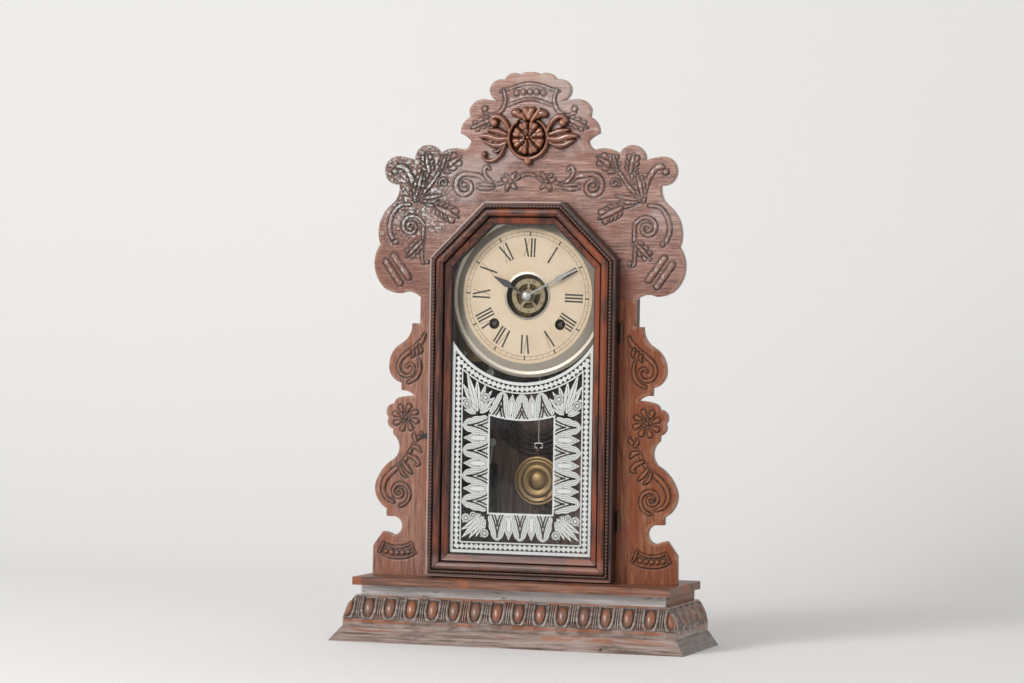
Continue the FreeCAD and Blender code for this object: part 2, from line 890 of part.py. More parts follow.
def tooth_points(centre, teeth, module, gap_degrees):
    # a toothed rim with the middle of a gap at gap_degrees
    pitch_r = module * teeth / 2
    root_r = pitch_r - tooth_root_share * module
    tip_r = pitch_r + tooth_tip_share * module
    root_half = math.degrees(root_half_share * module / root_r)
    tip_half = math.degrees(tip_half_share * module / tip_r)
    points = []
    for k in range(teeth):
        middle = gap_degrees + 360 * (k + 0.5) / teeth
        points.append(polar(centre, root_r, middle - root_half))
        points.append(polar(centre, tip_r, middle - tip_half))
        points.append(polar(centre, tip_r, middle + tip_half))
        points.append(polar(centre, root_r, middle + root_half))
    return points, root_r


def windows(centre, in_r, out_r, y, count=arms, gap=arm_w):
    # openings between the arms of a wheel
    wires = []
    for k in range(count):
        start, end = 360 * k / count, 360 * (k + 1) / count
        out_gap, in_gap = math.degrees(gap / 2 / out_r), math.degrees(gap / 2 / in_r)
        a = polar(centre, in_r, start + in_gap)
        b = polar(centre, out_r, start + out_gap)
        c = polar(centre, out_r, end - out_gap)
        d = polar(centre, in_r, end - in_gap)
        middle = (start + end) / 2
        out_via, in_via = polar(centre, out_r, middle), polar(centre, in_r, middle)
        wires.append(outline(a, [(None, b), (out_via, c), (None, d), (in_via, a)], y))
    return wires


def wheel(centre, teeth, module, gap_degrees, y, thick, bore_r):
    points, root_r = tooth_points(centre, teeth, module, gap_degrees)
    wires = [polygon(points, y), circle(centre, bore_r, y)]
    wires += windows(centre, hub_r, root_r - rim_w, y)
    return slab(wires, y, y + thick)


def lantern_beside(centre, leaves, module, pin_degrees, wheel_y, thick):
    # the pinion that a wheel of this thickness drives or is driven by
    return lantern(centre, leaves, module, pin_degrees, wheel_y - mesh_gap, wheel_y + thick + mesh_gap)


def lantern(centre, leaves, module, pin_degrees, y0, y1):
    # trundles between two shrouds, with one trundle at pin_degrees; the arbor is added by the caller
    pin_circle = module * leaves / 2
    shroud_r = pin_circle + shroud_share * module
    front = rod_along_y(centre, shroud_r, y0 - shroud_t, y0)
    rear = rod_along_y(centre, shroud_r, y1, y1 + shroud_t)
    pieces = [front, rear]
    for k in range(leaves):
        place = polar(centre, pin_circle, pin_degrees + 360 * k / leaves)
        pieces.append(rod_along_y(place, trundle_share * module, y0 - shroud_t, y1 + shroud_t))
    return pieces


def arbor_between_plates(centre, radius):
    # an arbor whose pivots run in both plates
    return turned(
        [
            (0, front_y),
            (pivot_r, front_y),
            (pivot_r, inner_y + pivot_shoulder),
            (radius, inner_y + pivot_shoulder),
            (radius, rear_y - pivot_shoulder),
            (pivot_r, rear_y - pivot_shoulder),
            (pivot_r, plate_back),
            (0, plate_back),
        ],
        centre,
    )


def heading(a, b):
    return math.degrees(math.atan2(b[1] - a[1], b[0] - a[0]))


centre_place = (0, dial_z)
time_place = (winding_x, winding_z)
strike_place = (-winding_x, winding_z)
third_reach = centre_module * (centre_teeth + third_leaves) / 2
escape_reach = third_module * (third_teeth + escape_leaves) / 2
escape_place = (0, dial_z + escape_rise)
third_up = (third_reach ** 2 - escape_reach ** 2 + escape_rise ** 2) / (2 * escape_rise)
third_place = (math.sqrt(third_reach ** 2 - third_up ** 2), dial_z + third_up)
verge_place = (0, dial_z + escape_rise + verge_rise)
pin_place = polar(strike_place, great_module * (great_teeth + pin_leaves) / 2, strike_angle)
fly_place = polar(pin_place, pin_module * (pin_teeth + fly_leaves) / 2, fly_angle)
motion_reach = motion_module * (cannon_leaves + minute_teeth) / 2
minute_place = polar(centre_place, motion_reach, -90)
hammer_place = (hammer_in - plate_half, dial_z + hammer_up)
great_y = inner_y + great_depth
strike_y = inner_y + strike_depth
centre_y = inner_y + centre_depth
third_y = inner_y + third_depth
escape_y = inner_y + escape_depth
pin_y = inner_y + pin_depth
spring_y = inner_y + spring_depth
cannon_back = front_y - mesh_gap
cannon_y1 = cannon_back - shroud_t
cannon_y0 = cannon_y1 - wheel_t - 2 * mesh_gap
minute_y = cannon_y0 + mesh_gap
hour_y = minute_y - wheel_t - 2 * mesh_gap - shroud_t
hour_front = hour_y - mesh_gap
alarm_y = paper_y + alarm_setback
hour_hand_y = paper_y - hour_hand_front
minute_hand_y = paper_y - minute_hand_front


def make_motion_work():
    # centre arbor with the cannon pinion, the minute wheel on its stud, and the hour wheel on its pipe
    arbor = turned(
        [
            (0, minute_hand_y - nut_h),
            (arbor_r, minute_hand_y - nut_h),
            (arbor_r, rear_y - pivot_shoulder),
            (pivot_r, rear_y - pivot_shoulder),
            (pivot_r, plate_back),
            (0, plate_back),
        ],
        centre_place,
    )
    toward_minute = heading(centre_place, minute_place)
    cannon = lantern(centre_place, cannon_leaves, motion_module, toward_minute, cannon_y0, cannon_y1)
    centre_arbor = arbor.fuse(cannon)
    back_to_centre = heading(minute_place, centre_place)
    disc = wheel(minute_place, minute_teeth, motion_module, back_to_centre, minute_y, wheel_t, pipe_bore_r)
    pins = lantern(minute_place, minute_leaves, motion_module, back_to_centre, hour_front, minute_y)
    bore = rod_along_y(minute_place, pipe_bore_r, hour_front - overrun, front_y)
    minute_wheel = disc.fuse(pins).cut(bore)
    hour_disc = wheel(centre_place, hour_teeth, motion_module, toward_minute, hour_y, wheel_t, pipe_bore_r)
    pipe = rod_along_y(centre_place, hour_pipe_r, hour_hand_y, hour_y + wheel_t)
    pipe = pipe.cut(rod_along_y(centre_place, pipe_bore_r, hour_hand_y, hour_y + wheel_t))
    return {"centre_arbor": centre_arbor, "minute_wheel": minute_wheel, "hour_wheel": hour_disc.fuse(pipe)}


def make_hand(length, width, wide_share, eye_r, bore_r, degrees, y):
    # drawn pointing up, then turned clockwise from twelve
    wide = wide_share * length
    half = width / 2
    stem = hand_stem_w / 2
    tip = hand_tip_w / 2
    right = [(stem, 0), (stem, wide - width), (half, wide), (tip, length)]
    points = right + [(-x, z) for x, z in reversed(right)]
    blade = slab([polygon(points, y)], y, y + hand_t)
    blade.rotate(Vector(0, 0, 0), Vector(0, 1, 0), degrees)
    blade.translate(point(0, 0, dial_z))
    eye = rod_along_y(centre_place, eye_r, y, y + hand_t)
    return blade.fuse(eye).cut(rod_along_y(centre_place, bore_r, y - overrun, y + hand_t + overrun))


def make_hands():
    hour_hand = make_hand(
        hour_hand_l, hour_hand_w, hour_wide_share, hand_eye_r, hour_pipe_r, hour_angle, hour_hand_y
    )
    minute_hand = make_hand(
        minute_hand_l, minute_hand_w, minute_wide_share, minute_eye_r, arbor_r, minute_angle, minute_hand_y
    )
    dome_r = (nut_r ** 2 + nut_h ** 2) / (2 * nut_h)
    cap = Part.makeSphere(dome_r, point(0, minute_hand_y - nut_h + dome_r, dial_z))
    room = rod_along_y(centre_place, nut_r, minute_hand_y - nut_h, minute_hand_y)
    nut = cap.common(room).cut(rod_along_y(centre_place, arbor_r, minute_hand_y - nut_h, minute_hand_y))
    bore_r = hour_pipe_r + pivot_gap
    wires = [circle(centre_place, alarm_disc_r, alarm_y), circle(centre_place, bore_r, alarm_y)]
    gap = math.radians(360 / arms - alarm_window_angle) * (alarm_window_in_r + alarm_window_out_r) / 2
    wires += windows(centre_place, alarm_window_in_r, alarm_window_out_r, alarm_y, arms, gap)
    disc = slab(wires, alarm_y, alarm_y + alarm_disc_t)
    sleeve = rod_along_y(centre_place, alarm_sleeve_r, alarm_y - alarm_sleeve_l + alarm_disc_t, alarm_y)
    sleeve = sleeve.cut(rod_along_y(centre_place, bore_r, alarm_y - alarm_sleeve_l, alarm_y))
    return {
        "hour_hand": hour_hand,
        "minute_hand": minute_hand,
        "hand_nut": nut,
        "alarm_disc": disc.fuse(sleeve),
    }


def make_time_train():
    # the centre wheel sits on a sleeve that slips on the centre arbor when the hands are set
    sleeve_r = arbor_r + pivot_gap
    toward_time = heading(centre_place, time_place)
    toward_third = heading(centre_place, third_place)
    pieces = lantern_beside(centre_place, centre_leaves, great_module, toward_time, great_y, great_t)
    disc = wheel(centre_place, centre_teeth, centre_module, toward_third, centre_y, wheel_t, sleeve_r)
    tube = rod_along_y(centre_place, arbor_r + shroud_t, great_y - mesh_gap, centre_y + wheel_t)
    bore = rod_along_y(centre_place, sleeve_r, inner_y, rear_y)
    centre_wheel = disc.fuse(pieces + [tube]).cut(bore)

    third = arbor_between_plates(third_place, thin_arbor_r)
    third_back = heading(third_place, centre_place)
    toward_escape = heading(third_place, escape_place)
    pieces = lantern_beside(third_place, third_leaves, centre_module, third_back, centre_y, wheel_t)
    disc = wheel(third_place, third_teeth, third_module, toward_escape, third_y, wheel_t, thin_arbor_r)
    third_wheel = third.fuse(pieces + [disc])

    escape_back = heading(escape_place, third_place)
    pieces = lantern_beside(escape_place, escape_leaves, third_module, escape_back, third_y, wheel_t)
    points = []
    for k in range(escape_teeth):
        angle = 360 * k / escape_teeth
        points.append(polar(escape_place, escape_r, angle))
        points.append(
            polar(escape_place, escape_r * escape_root_share, angle + escape_rake_share * 360 / escape_teeth)
        )
    wires = [polygon(points, escape_y), circle(escape_place, thin_arbor_r, escape_y)]
    wires += windows(escape_place, hub_r, escape_r * escape_root_share - rim_w / 2, escape_y)
    disc = slab(wires, escape_y, escape_y + wheel_t)
    escape_wheel = arbor_between_plates(escape_place, thin_arbor_r).fuse(pieces + [disc])
    return {"centre_wheel": centre_wheel, "third_wheel": third_wheel, "escape_wheel": escape_wheel}


def make_verge():
    # strip pallets held clear of the teeth, and a crutch behind the back plate
    in_r = escape_r + pallet_gap
    out_r = in_r + pallet_t
    left, right = 90 + pallet_angle, 90 - pallet_angle
    a, b = polar(escape_place, in_r, right), polar(escape_place, in_r, left)
    c, d = polar(escape_place, out_r, left), polar(escape_place, out_r, right)
    steps = [
        (polar(escape_place, in_r, 90), b),
        (None, c),
        (polar(escape_place, out_r, 90), d),
        (None, a),
    ]
    strip = slab([outline(a, steps, escape_y)], escape_y, escape_y + wheel_t)
    neck_foot = escape_place[1] + in_r + pallet_t / 2
    neck = block(
        -verge_neck_w / 2, verge_neck_w / 2, escape_y, escape_y + wheel_t, neck_foot, verge_place[1]
    )
    hub = rod_along_y(verge_place, verge_hub_r, escape_y - hub_l / 2, escape_y + hub_l)
    arbor = turned(
        [
            (0, front_y),
            (pivot_r, front_y),
            (pivot_r, inner_y + pivot_shoulder),
            (thin_arbor_r, inner_y + pivot_shoulder),
            (thin_arbor_r, plate_back + seat_gap + crutch_t),
            (0, plate_back + seat_gap + crutch_t),
        ],
        verge_place,
    )
    crutch_y = plate_back + seat_gap
    foot = verge_place[1] - crutch_l
    crutch = block(-crutch_w / 2, crutch_w / 2, crutch_y, crutch_y + crutch_t, foot, verge_place[1])
    fork = []
    fork_in = rod_r + seat_gap
    for side in (-1, 1):
        x0 = min(side * fork_in, side * (fork_in + crutch_t))
        fork.append(
            block(x0, x0 + crutch_t, crutch_y, rod_y + crutch_loop_l / 2, foot, foot + crutch_w)
        )
    fork_out = fork_in + crutch_t
    bridge = block(-fork_out, fork_out, crutch_y, crutch_y + crutch_t, foot, foot + crutch_w)
    return strip.fuse([neck, hub, arbor, crutch, bridge] + fork)


def spring_path(centre, first_r, turns, pitch, y, offset):
    # half-turn arcs about two centres; each half turn grows by half the pitch
    arcs = []
    for k in range(2 * turns):
        shift = 0 if k % 2 == 0 else pitch / 2
        radius = first_r + k * pitch / 2 + offset
        middle = 90 if k % 2 == 0 else 270
        c = (centre[0] + shift, centre[1])
        ends = [polar(c, radius, middle - 90), polar(c, radius, middle), polar(c, radius, middle + 90)]
        arcs.append([point(p[0], y, p[1]) for p in ends])
    return arcs


def make_spring(centre, post_degrees):
    inner = spring_path(centre, spring_in_r, spring_turns, spring_pitch, spring_y, 0)
    outer = spring_path(centre, spring_in_r, spring_turns, spring_pitch, spring_y, spring_band_t)
    edges = [Part.Arc(a, b, c).toShape() for a, b, c in inner]
    edges.append(Part.LineSegment(inner[-1][2], outer[-1][2]).toShape())
    edges += [Part.Arc(c, b, a).toShape() for a, b, c in reversed(outer)]
    edges.append(Part.LineSegment(outer[0][0], inner[0][0]).toShape())
    band = Part.Face(Part.Wire(edges)).extrude(Vector(0, spring_w, 0))
    band.rotate(point(centre[0], 0, centre[1]), Vector(0, -1, 0), post_degrees)
    return band


def spring_post_place(centre, degrees):
    reach = spring_in_r + spring_turns * spring_pitch + spring_band_t + spring_post_r + seat_gap
    return polar(centre, reach, degrees)


def make_winding(centre, wheel_y, other):
    # a winding arbor with its ratchet beside the great wheel, and the great wheel with its click
    arbor = turned(
        [
            (0, front_y - square_l / 2),
            (winding_r, front_y - square_l / 2),
            (winding_r, rear_y - pivot_shoulder),
            (arbor_r, rear_y - pivot_shoulder),
            (arbor_r, plate_back),
            (0, plate_back),
        ],
        centre,
    )
    half = square_w / 2
    end = sheet_back - square_proud
    square = block(
        centre[0] - half, centre[0] + half, end, front_y - square_l / 2, centre[1] - half, centre[1] + half
    )
    ratchet_y = wheel_y + great_t + seat_gap if wheel_y < spring_y else wheel_y - seat_gap - ratchet_t
    points = []
    for k in range(ratchet_teeth):
        angle = 360 * k / ratchet_teeth
        points.append(polar(centre, ratchet_r, angle))
        points.append(polar(centre, ratchet_r - ratchet_depth, angle))
    ratchet = slab([polygon(points, ratchet_y)], ratchet_y, ratchet_y + ratchet_t)
    winding = arbor.fuse([square, ratchet])

    gap_degrees = heading(centre, other)
    bore_r = winding_r + pivot_gap
    points, root_r = tooth_points(centre, great_teeth, great_module, gap_degrees)
    hub = ratchet_r + click_w + rim_w
    wires = [polygon(points, wheel_y), circle(centre, bore_r, wheel_y)]
    wires += windows(centre, hub, root_r - rim_w, wheel_y)
    great = slab(wires, wheel_y, wheel_y + great_t)
    x = centre[0] + ratchet_r + seat_gap
    click_y = min(ratchet_y, wheel_y)
    click_end = max(ratchet_y + ratchet_t, wheel_y + great_t)
    click = block(x, x + click_w, click_y, click_end, centre[1] - click_l / 2, centre[1] + click_l / 2)
    return winding, great.fuse(click)


def make_strike():
    pin_back = heading(pin_place, strike_place)
    toward_fly = heading(pin_place, fly_place)
    pieces = lantern_beside(pin_place, pin_leaves, great_module, pin_back, strike_y, great_t)
    disc = wheel(pin_place, pin_teeth, pin_module, toward_fly, pin_y, wheel_t, thin_arbor_r)
    lift_r = lifting_circle_share * pin_module * pin_teeth / 2
    for k in range(lifting_pins):
        place = polar(pin_place, lift_r, 360 * k / lifting_pins)
        pieces.append(rod_along_y(place, lifting_pin_r, pin_y, pin_y + wheel_t + hub_l))
    rim = rod_along_y(pin_place, lift_r + rim_w / 2, pin_y, pin_y + wheel_t)
    rim = rim.cut(rod_along_y(pin_place, lift_r - rim_w / 2, pin_y, pin_y + wheel_t))
    pin_wheel = arbor_between_plates(pin_place, thin_arbor_r).fuse(pieces + [disc, rim])

    fly_back = heading(fly_place, pin_place)
    pieces = lantern_beside(fly_place, fly_leaves, pin_module, fly_back, pin_y, wheel_t)
    fan_y = inner_y + fly_depth
    fan = block(
        fly_place[0] - fly_half_w,
        fly_place[0] + fly_half_w,
        fan_y,
        fan_y + fly_l,
        fly_place[1] - fly_t / 2,
        fly_place[1] + fly_t / 2,
    )
    fly = arbor_between_plates(fly_place, thin_arbor_r).fuse(pieces + [fan])

    hammer_y = plate_back + pendulum_back
    gong_place = (gong_x, base_h + gong_rise)
    coil_r = gong_in_r + (gong_half_turns - 1) * gong_pitch / 2 + gong_pitch / 2 + gong_wire_r
    head = polar(gong_place, coil_r + hammer_gap + hammer_head_r, gong_side_angle)
    coil_y = back_board_y - gong_off
    arbor = turned(
        [
            (0, front_y),
            (pivot_r, front_y),
            (pivot_r, inner_y + pivot_shoulder),
            (thin_arbor_r, inner_y + pivot_shoulder),
            (thin_arbor_r, hammer_y),
            (0, hammer_y),
        ],
        hammer_place,
    )
    tail_room = math.hypot(pin_place[0] - hammer_place[0], pin_place[1] - hammer_place[1])
    tail_l = tail_room - lift_r - lifting_pin_r - hammer_tail_gap
    tail = block(
        0, tail_l, pin_y + wheel_t + seat_gap, pin_y + wheel_t + hub_l, -hammer_arm_w / 2, hammer_arm_w / 2
    )
    tail.rotate(Vector(0, 0, 0), Vector(0, -1, 0), heading(hammer_place, pin_place))
    tail.translate(point(hammer_place[0], 0, hammer_place[1]))
    rod = along(
        point(hammer_place[0], hammer_y, hammer_place[1]), point(head[0], hammer_y, head[1]), hammer_rod_r
    )
    collar = rod_along_y(
        hammer_place, hammer_collar_r, hammer_y - hammer_collar_half_l, hammer_y + hammer_collar_half_l
    )
    weight = rod_along_y(head, hammer_head_r, hammer_y - hammer_collar_half_l, coil_y + hammer_head_l / 2)
    hammer = arbor.fuse([tail, collar, rod, weight])
    return {"pin_wheel": pin_wheel, "fly": fly, "strike_hammer": hammer}


def make_gong():
    centre = (gong_x, base_h + gong_rise)
    y = back_board_y - gong_off
    arcs = spring_path(centre, gong_in_r, gong_half_turns // 2, gong_pitch, y, 0)
    start = arcs[0][0]
    end = arcs[-1][2]
    lead = point(start.x, y, start.z - gong_lead)
    tail = point(end.x, y, end.z + gong_lead)
    edges = [Part.LineSegment(lead, start).toShape()]
    edges += [Part.Arc(a, b, c).toShape() for a, b, c in arcs]
    edges.append(Part.LineSegment(end, tail).toShape())
    path = Part.Wire(edges)
    section = Part.Wire(Part.makeCircle(gong_wire_r, lead, Vector(0, 0, 1)))
    coil = path.makePipeShell([section], True, False)
    samples = path.discretize(Distance=gong_wire_r)
    apart = 4 * gong_pitch
    least = min(
        (a - b).Length
        for i, a in enumerate(samples)
        for j, b in enumerate(samples)
        if (j - i) * gong_wire_r > apart
    )
    print("gong coil least gap", round(least - 2 * gong_wire_r, 3))
    top = start.z - gong_lead
    half = gong_block_w / 2
    post = block(start.x - half, start.x + half, y - half, back_board_y, top - gong_block_h, top)
    post_place = (start.x, top - gong_block_h / 2)
    foot = rod_along_y(post_place, gong_foot_r, back_board_y - gong_foot_t, back_board_y)
    return {"gong_coil": coil, "gong_block": post.fuse(foot)}


def make_pendulum():
    z = verge_place[1]
    bob_z = z - bob_drop
    half_t = bob_t / 2
    edge = bob_edge_share * bob_t
    profile = [(0, rod_y - half_t)]
    level = rod_y - half_t
    for k, share in enumerate(reversed(bob_step_shares[1:])):
        profile.append((share * bob_r, level))
        level = level + bob_step_h if k % 2 == 0 else level - bob_step_h / 2
        profile.append((share * bob_r, level))
    profile += [(bob_r, rod_y - edge), (bob_r, rod_y + edge)]
    profile += [(bob_r - half_t, rod_y + half_t), (0, rod_y + half_t)]
    bob = turned(profile, (0, bob_z))
    loop_z = bob_z + bob_r + hook_neck_l + hook_r
    loop = Part.makeTorus(hook_r, hook_wire_r, point(0, rod_y, loop_z), Vector(1, 0, 0))
    neck = Part.makeCylinder(hook_neck_r, 2 * hook_neck_l, point(0, rod_y, bob_z + bob_r - hook_neck_l))
    bob = bob.fuse([loop, neck])

    hook_z = loop_z + hook_r - hook_wire_r - rod_r - pivot_gap
    strap = block(
        -suspension_w / 2,
        suspension_w / 2,
        rod_y - suspension_t / 2,
        rod_y + suspension_t / 2,
        z - suspension_l,
        z + suspension_up,
    )
    rod_foot = loop_z + hook_r + hook_wire_r + rod_r + seat_gap
    rod = Part.makeCylinder(rod_r, z - suspension_l - rod_foot + overrun, point(0, rod_y, rod_foot))
    cross = Part.makeCylinder(rod_r, 2 * hook_r, point(-hook_r, rod_y, hook_z), Vector(1, 0, 0))
    ends = []
    for side in (-1, 1):
        ends.append(Part.makeCylinder(rod_r, rod_foot - hook_z, point(side * hook_r, rod_y, hook_z)))
    bar = Part.makeCylinder(rod_r, 2 * hook_r, point(-hook_r, rod_y, rod_foot), Vector(1, 0, 0))
    pendulum_rod = rod.fuse([strap, cross, bar] + ends)

    slot = suspension_t / 2 + seat_gap
    cock_z0 = z
    cock = block(-cock_w / 2, cock_w / 2, plate_back, rod_y + slot + cock_t, cock_z0, cock_z0 + cock_h)
    cock_top = cock_z0 + cock_h - cock_t
    hollow = block(-cock_w / 2, cock_w / 2, plate_back + cock_t, rod_y - slot - cock_t, cock_z0, cock_top)
    slit = block(
        -suspension_w / 2 - slot,
        suspension_w / 2 + slot,
        rod_y - slot,
        rod_y + slot,
        cock_z0 - overrun,
        cock_z0 + suspension_up + seat_gap,
    )
    arbor_room = rod_along_y(verge_place, verge_hub_r, plate_back, rod_y - slot - cock_t)
    cock = cock.cut(hollow).cut(slit).cut(arbor_room)
    return {"pendulum_rod": pendulum_rod, "pendulum_bob": bob, "suspension_cock": cock}


def make_plates():
    corners = []
    low, high = dial_z - pillar_down - pillar_end, dial_z + pillar_up + pillar_end
    cut = plate_corner
    for x, z in ((1, low), (1, high), (-1, high), (-1, low)):
        inward = cut if z == low else -cut
        pair = [(x * (plate_half - cut), z), (x * plate_half, z + inward)]
        corners += pair if (x > 0) == (z == low) else pair[::-1]
    pillar_places = []
    for side in (-1, 1):
        pillar_places.append((side * pillar_x, dial_z - pillar_down))
        pillar_places.append((side * (pillar_x - pillar_in), dial_z + pillar_up))
    pivots = [third_place, escape_place, pin_place, fly_place, hammer_place, verge_place]
    through = thin_arbor_r + pivot_gap

    def plate(y, holes):
        wires = [polygon(corners, y)] + [circle(place, radius, y) for place, radius in holes]
        return slab(wires, y, y + plate_t)

    shared = [(place, pivot_r + pivot_gap) for place in pivots[:4]]
    shared += [(place, pillar_neck_r) for place in pillar_places]
    centre_room = arbor_r + pivot_gap
    front_holes = shared + [(place, pivot_r + pivot_gap) for place in pivots[4:]]
    front_holes += [(centre_place, centre_room)]
    front_holes += [(place, winding_r + pivot_gap) for place in (time_place, strike_place)]
    rear_holes = shared + [(hammer_place, through), (verge_place, through)]
    rear_holes += [(centre_place, pivot_r + pivot_gap)]
    rear_holes += [(place, arbor_r + pivot_gap) for place in (time_place, strike_place)]
    stud = rod_along_y(minute_place, arbor_r, hour_front - shroud_t, front_y)
    strike_post = rod_along_y(
        spring_post_place(strike_place, 180 - spring_post_angle), spring_post_r, inner_y, spring_y + spring_w
    )
    time_post = rod_along_y(
        spring_post_place(time_place, spring_post_angle), spring_post_r, spring_y, rear_y
    )
    front = plate(front_y, front_holes).fuse([stud, strike_post])
    rear = plate(rear_y, rear_holes).fuse(time_post)
    pillars = []
    for place in pillar_places:
        pillars.append(
            turned(
                [
                    (0, front_y - pillar_head_t),
                    (pillar_r, front_y - pillar_head_t),
                    (pillar_r, front_y),
                    (pillar_neck_r, front_y),
                    (pillar_neck_r, inner_y),
                    (pillar_r, inner_y),
                    (pillar_r, rear_y),
                    (pillar_neck_r, rear_y),
                    (pillar_neck_r, plate_back),
                    (seat_post_r, plate_back),
                    (seat_post_r, back_board_y),
                    (0, back_board_y),
                ],
                place,
            )
        )
    return {"front_plate": front, "back_plate": rear, "pillars": Part.makeCompound(pillars)}


# Alarm unit on the back board, left of the pendulum


def make_alarm():
    z = base_h + alarm_rise
    front = back_board_y - alarm_off
    x0, x1 = alarm_x - alarm_half_w, alarm_x + alarm_half_w
    z0, z1 = z - alarm_half_h, z + alarm_half_h
    arbor_place = (alarm_x, z - alarm_half_h / 2)
    hammer_pivot = (alarm_x + alarm_hammer_out, z + alarm_hammer_up)
    frame = block(x0, x1, front, front + alarm_plate_t, z0, z1)
    rear = block(x0, x1, back_board_y - alarm_plate_t, back_board_y, z0, z1)
    pieces = [rear]
    inset_by = 2 * alarm_pillar_r
    feet = [(x0 + inset_by, z0 + inset_by), (x1 - inset_by, z0 + inset_by)]
    heads = [(x0 + inset_by, z1 - inset_by), (x1 - inset_by, z1 - alarm_pillar_drop)]
    for place in feet + heads:
        pieces.append(rod_along_y(place, alarm_pillar_r, front, back_board_y))
    frame = frame.fuse(pieces)
    for place, radius in ((arbor_place, alarm_arbor_r), (hammer_pivot, thin_arbor_r)):
        frame = frame.cut(rod_along_y(place, radius + pivot_gap, front - overrun, back_board_y - seat_gap))
    deep = back_board_y - alarm_plate_t - seat_gap
    arbor = rod_along_y(arbor_place, alarm_arbor_r, front - alarm_key_l / 2, back_board_y - 2 * seat_gap)
    drum = rod_along_y(arbor_place, alarm_drum_r, front + alarm_plate_t + seat_gap, deep)
    key = block(
        arbor_place[0] - alarm_key_half_w,
        arbor_place[0] + alarm_key_half_w,
        front - alarm_key_l,
        front - seat_gap,
        arbor_place[1] - alarm_plate_t / 2,
        arbor_place[1] + alarm_plate_t / 2,
    )
    gong_place = (gong_x, base_h + gong_rise)
    coil_r = gong_in_r + gong_half_turns * gong_pitch / 2 + gong_wire_r
    head = polar(gong_place, coil_r + hammer_gap + hammer_head_r, alarm_side_angle)
    swing_y = front + alarm_off / 2
    pivot = rod_along_y(hammer_pivot, thin_arbor_r, front, back_board_y - 2 * seat_gap)
    rod = along(
        point(hammer_pivot[0], swing_y, hammer_pivot[1]), point(head[0], swing_y, head[1]), hammer_rod_r
    )
    coil_y = back_board_y - gong_off
    weight = rod_along_y(head, hammer_head_r, swing_y - hammer_collar_half_l, coil_y + hammer_head_l / 2)
    return {
        "alarm_frame": frame,
        "alarm_winder": arbor.fuse([drum, key]),
        "alarm_hammer": pivot.fuse([rod, weight]),
    }


def make_parts():
    parts = {}
    parts.update(make_base())
    parts.update(make_case())
    wing = make_wing()
    x, z = catch_centre()
    hole_end = panel_y + catch_pin_depth + seat_gap
    hole = rod_along_y((x, z), catch_pin_r + pivot_gap, panel_y - overrun, hole_end)
    parts["crest_board"] = make_crest()
    parts["wing_left"] = mirrored(wing).cut(hole)
    parts["wing_right"] = wing
    parts["crest_rosette"] = make_rosette()
    parts.update(make_door())
    parts.update(make_hinges())
    parts["door_catch"] = make_catch()
    parts.update(make_dial())
    parts.update(make_motion_work())
    parts.update(make_hands())
    parts.update(make_plates())
    parts.update(make_time_train())
    parts["verge"] = make_verge()
    parts["time_winder"], parts["time_great_wheel"] = make_winding(time_place, great_y, centre_place)
    parts["strike_winder"], parts["strike_great_wheel"] = make_winding(strike_place, strike_y, pin_place)
    springs = [make_spring(time_place, spring_post_angle), make_spring(strike_place, 180 - spring_post_angle)]
    parts["mainsprings"] = Part.makeCompound(springs)
    parts.update(make_strike())
    parts.update(make_gong())
    parts.update(make_pendulum())
    parts.update(make_alarm())
    return parts


os.makedirs("parts", exist_ok=True)
for name, shape in make_parts().items():
    clean = shape.removeSplitter() if len(shape.Solids) == 1 else shape
    clean.exportStep(os.path.join("parts", name + ".step"))
    print(name, len(clean.Solids), clean.isValid(), round(clean.Volume))
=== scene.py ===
import math

import bpy
import numpy as np
from mathutils import Matrix, Vector


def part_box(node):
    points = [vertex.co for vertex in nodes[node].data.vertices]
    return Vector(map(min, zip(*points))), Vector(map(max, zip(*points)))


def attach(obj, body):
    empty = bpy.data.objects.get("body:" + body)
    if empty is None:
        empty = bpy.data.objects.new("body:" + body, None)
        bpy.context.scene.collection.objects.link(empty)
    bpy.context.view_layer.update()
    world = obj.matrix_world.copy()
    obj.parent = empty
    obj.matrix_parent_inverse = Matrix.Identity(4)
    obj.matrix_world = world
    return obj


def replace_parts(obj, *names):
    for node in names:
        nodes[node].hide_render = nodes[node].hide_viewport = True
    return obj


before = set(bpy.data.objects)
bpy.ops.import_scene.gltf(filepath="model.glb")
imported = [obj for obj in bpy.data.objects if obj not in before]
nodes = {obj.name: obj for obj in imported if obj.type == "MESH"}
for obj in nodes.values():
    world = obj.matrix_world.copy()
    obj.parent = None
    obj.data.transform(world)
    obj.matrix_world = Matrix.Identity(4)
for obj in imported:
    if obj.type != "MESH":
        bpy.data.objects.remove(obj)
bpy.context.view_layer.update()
scene = bpy.context.scene
mm = 0.001
dialCentre = (0.0, 349.3)
doorEdge = {"half": 97.5, "foot": 65.5, "top": 443.5, "shoulder": 387.0, "crown": 41.0}
print("frame loaded:", len(nodes), "nodes")


# Camera, at the photograph's place

cameraSet = {
    "lens": 123.1,
    "place": (1062.4, -3360.5, 334.0),
    "azimuth": 17.81,
    "elevation": 0.5,
    "roll": 0.894,
}


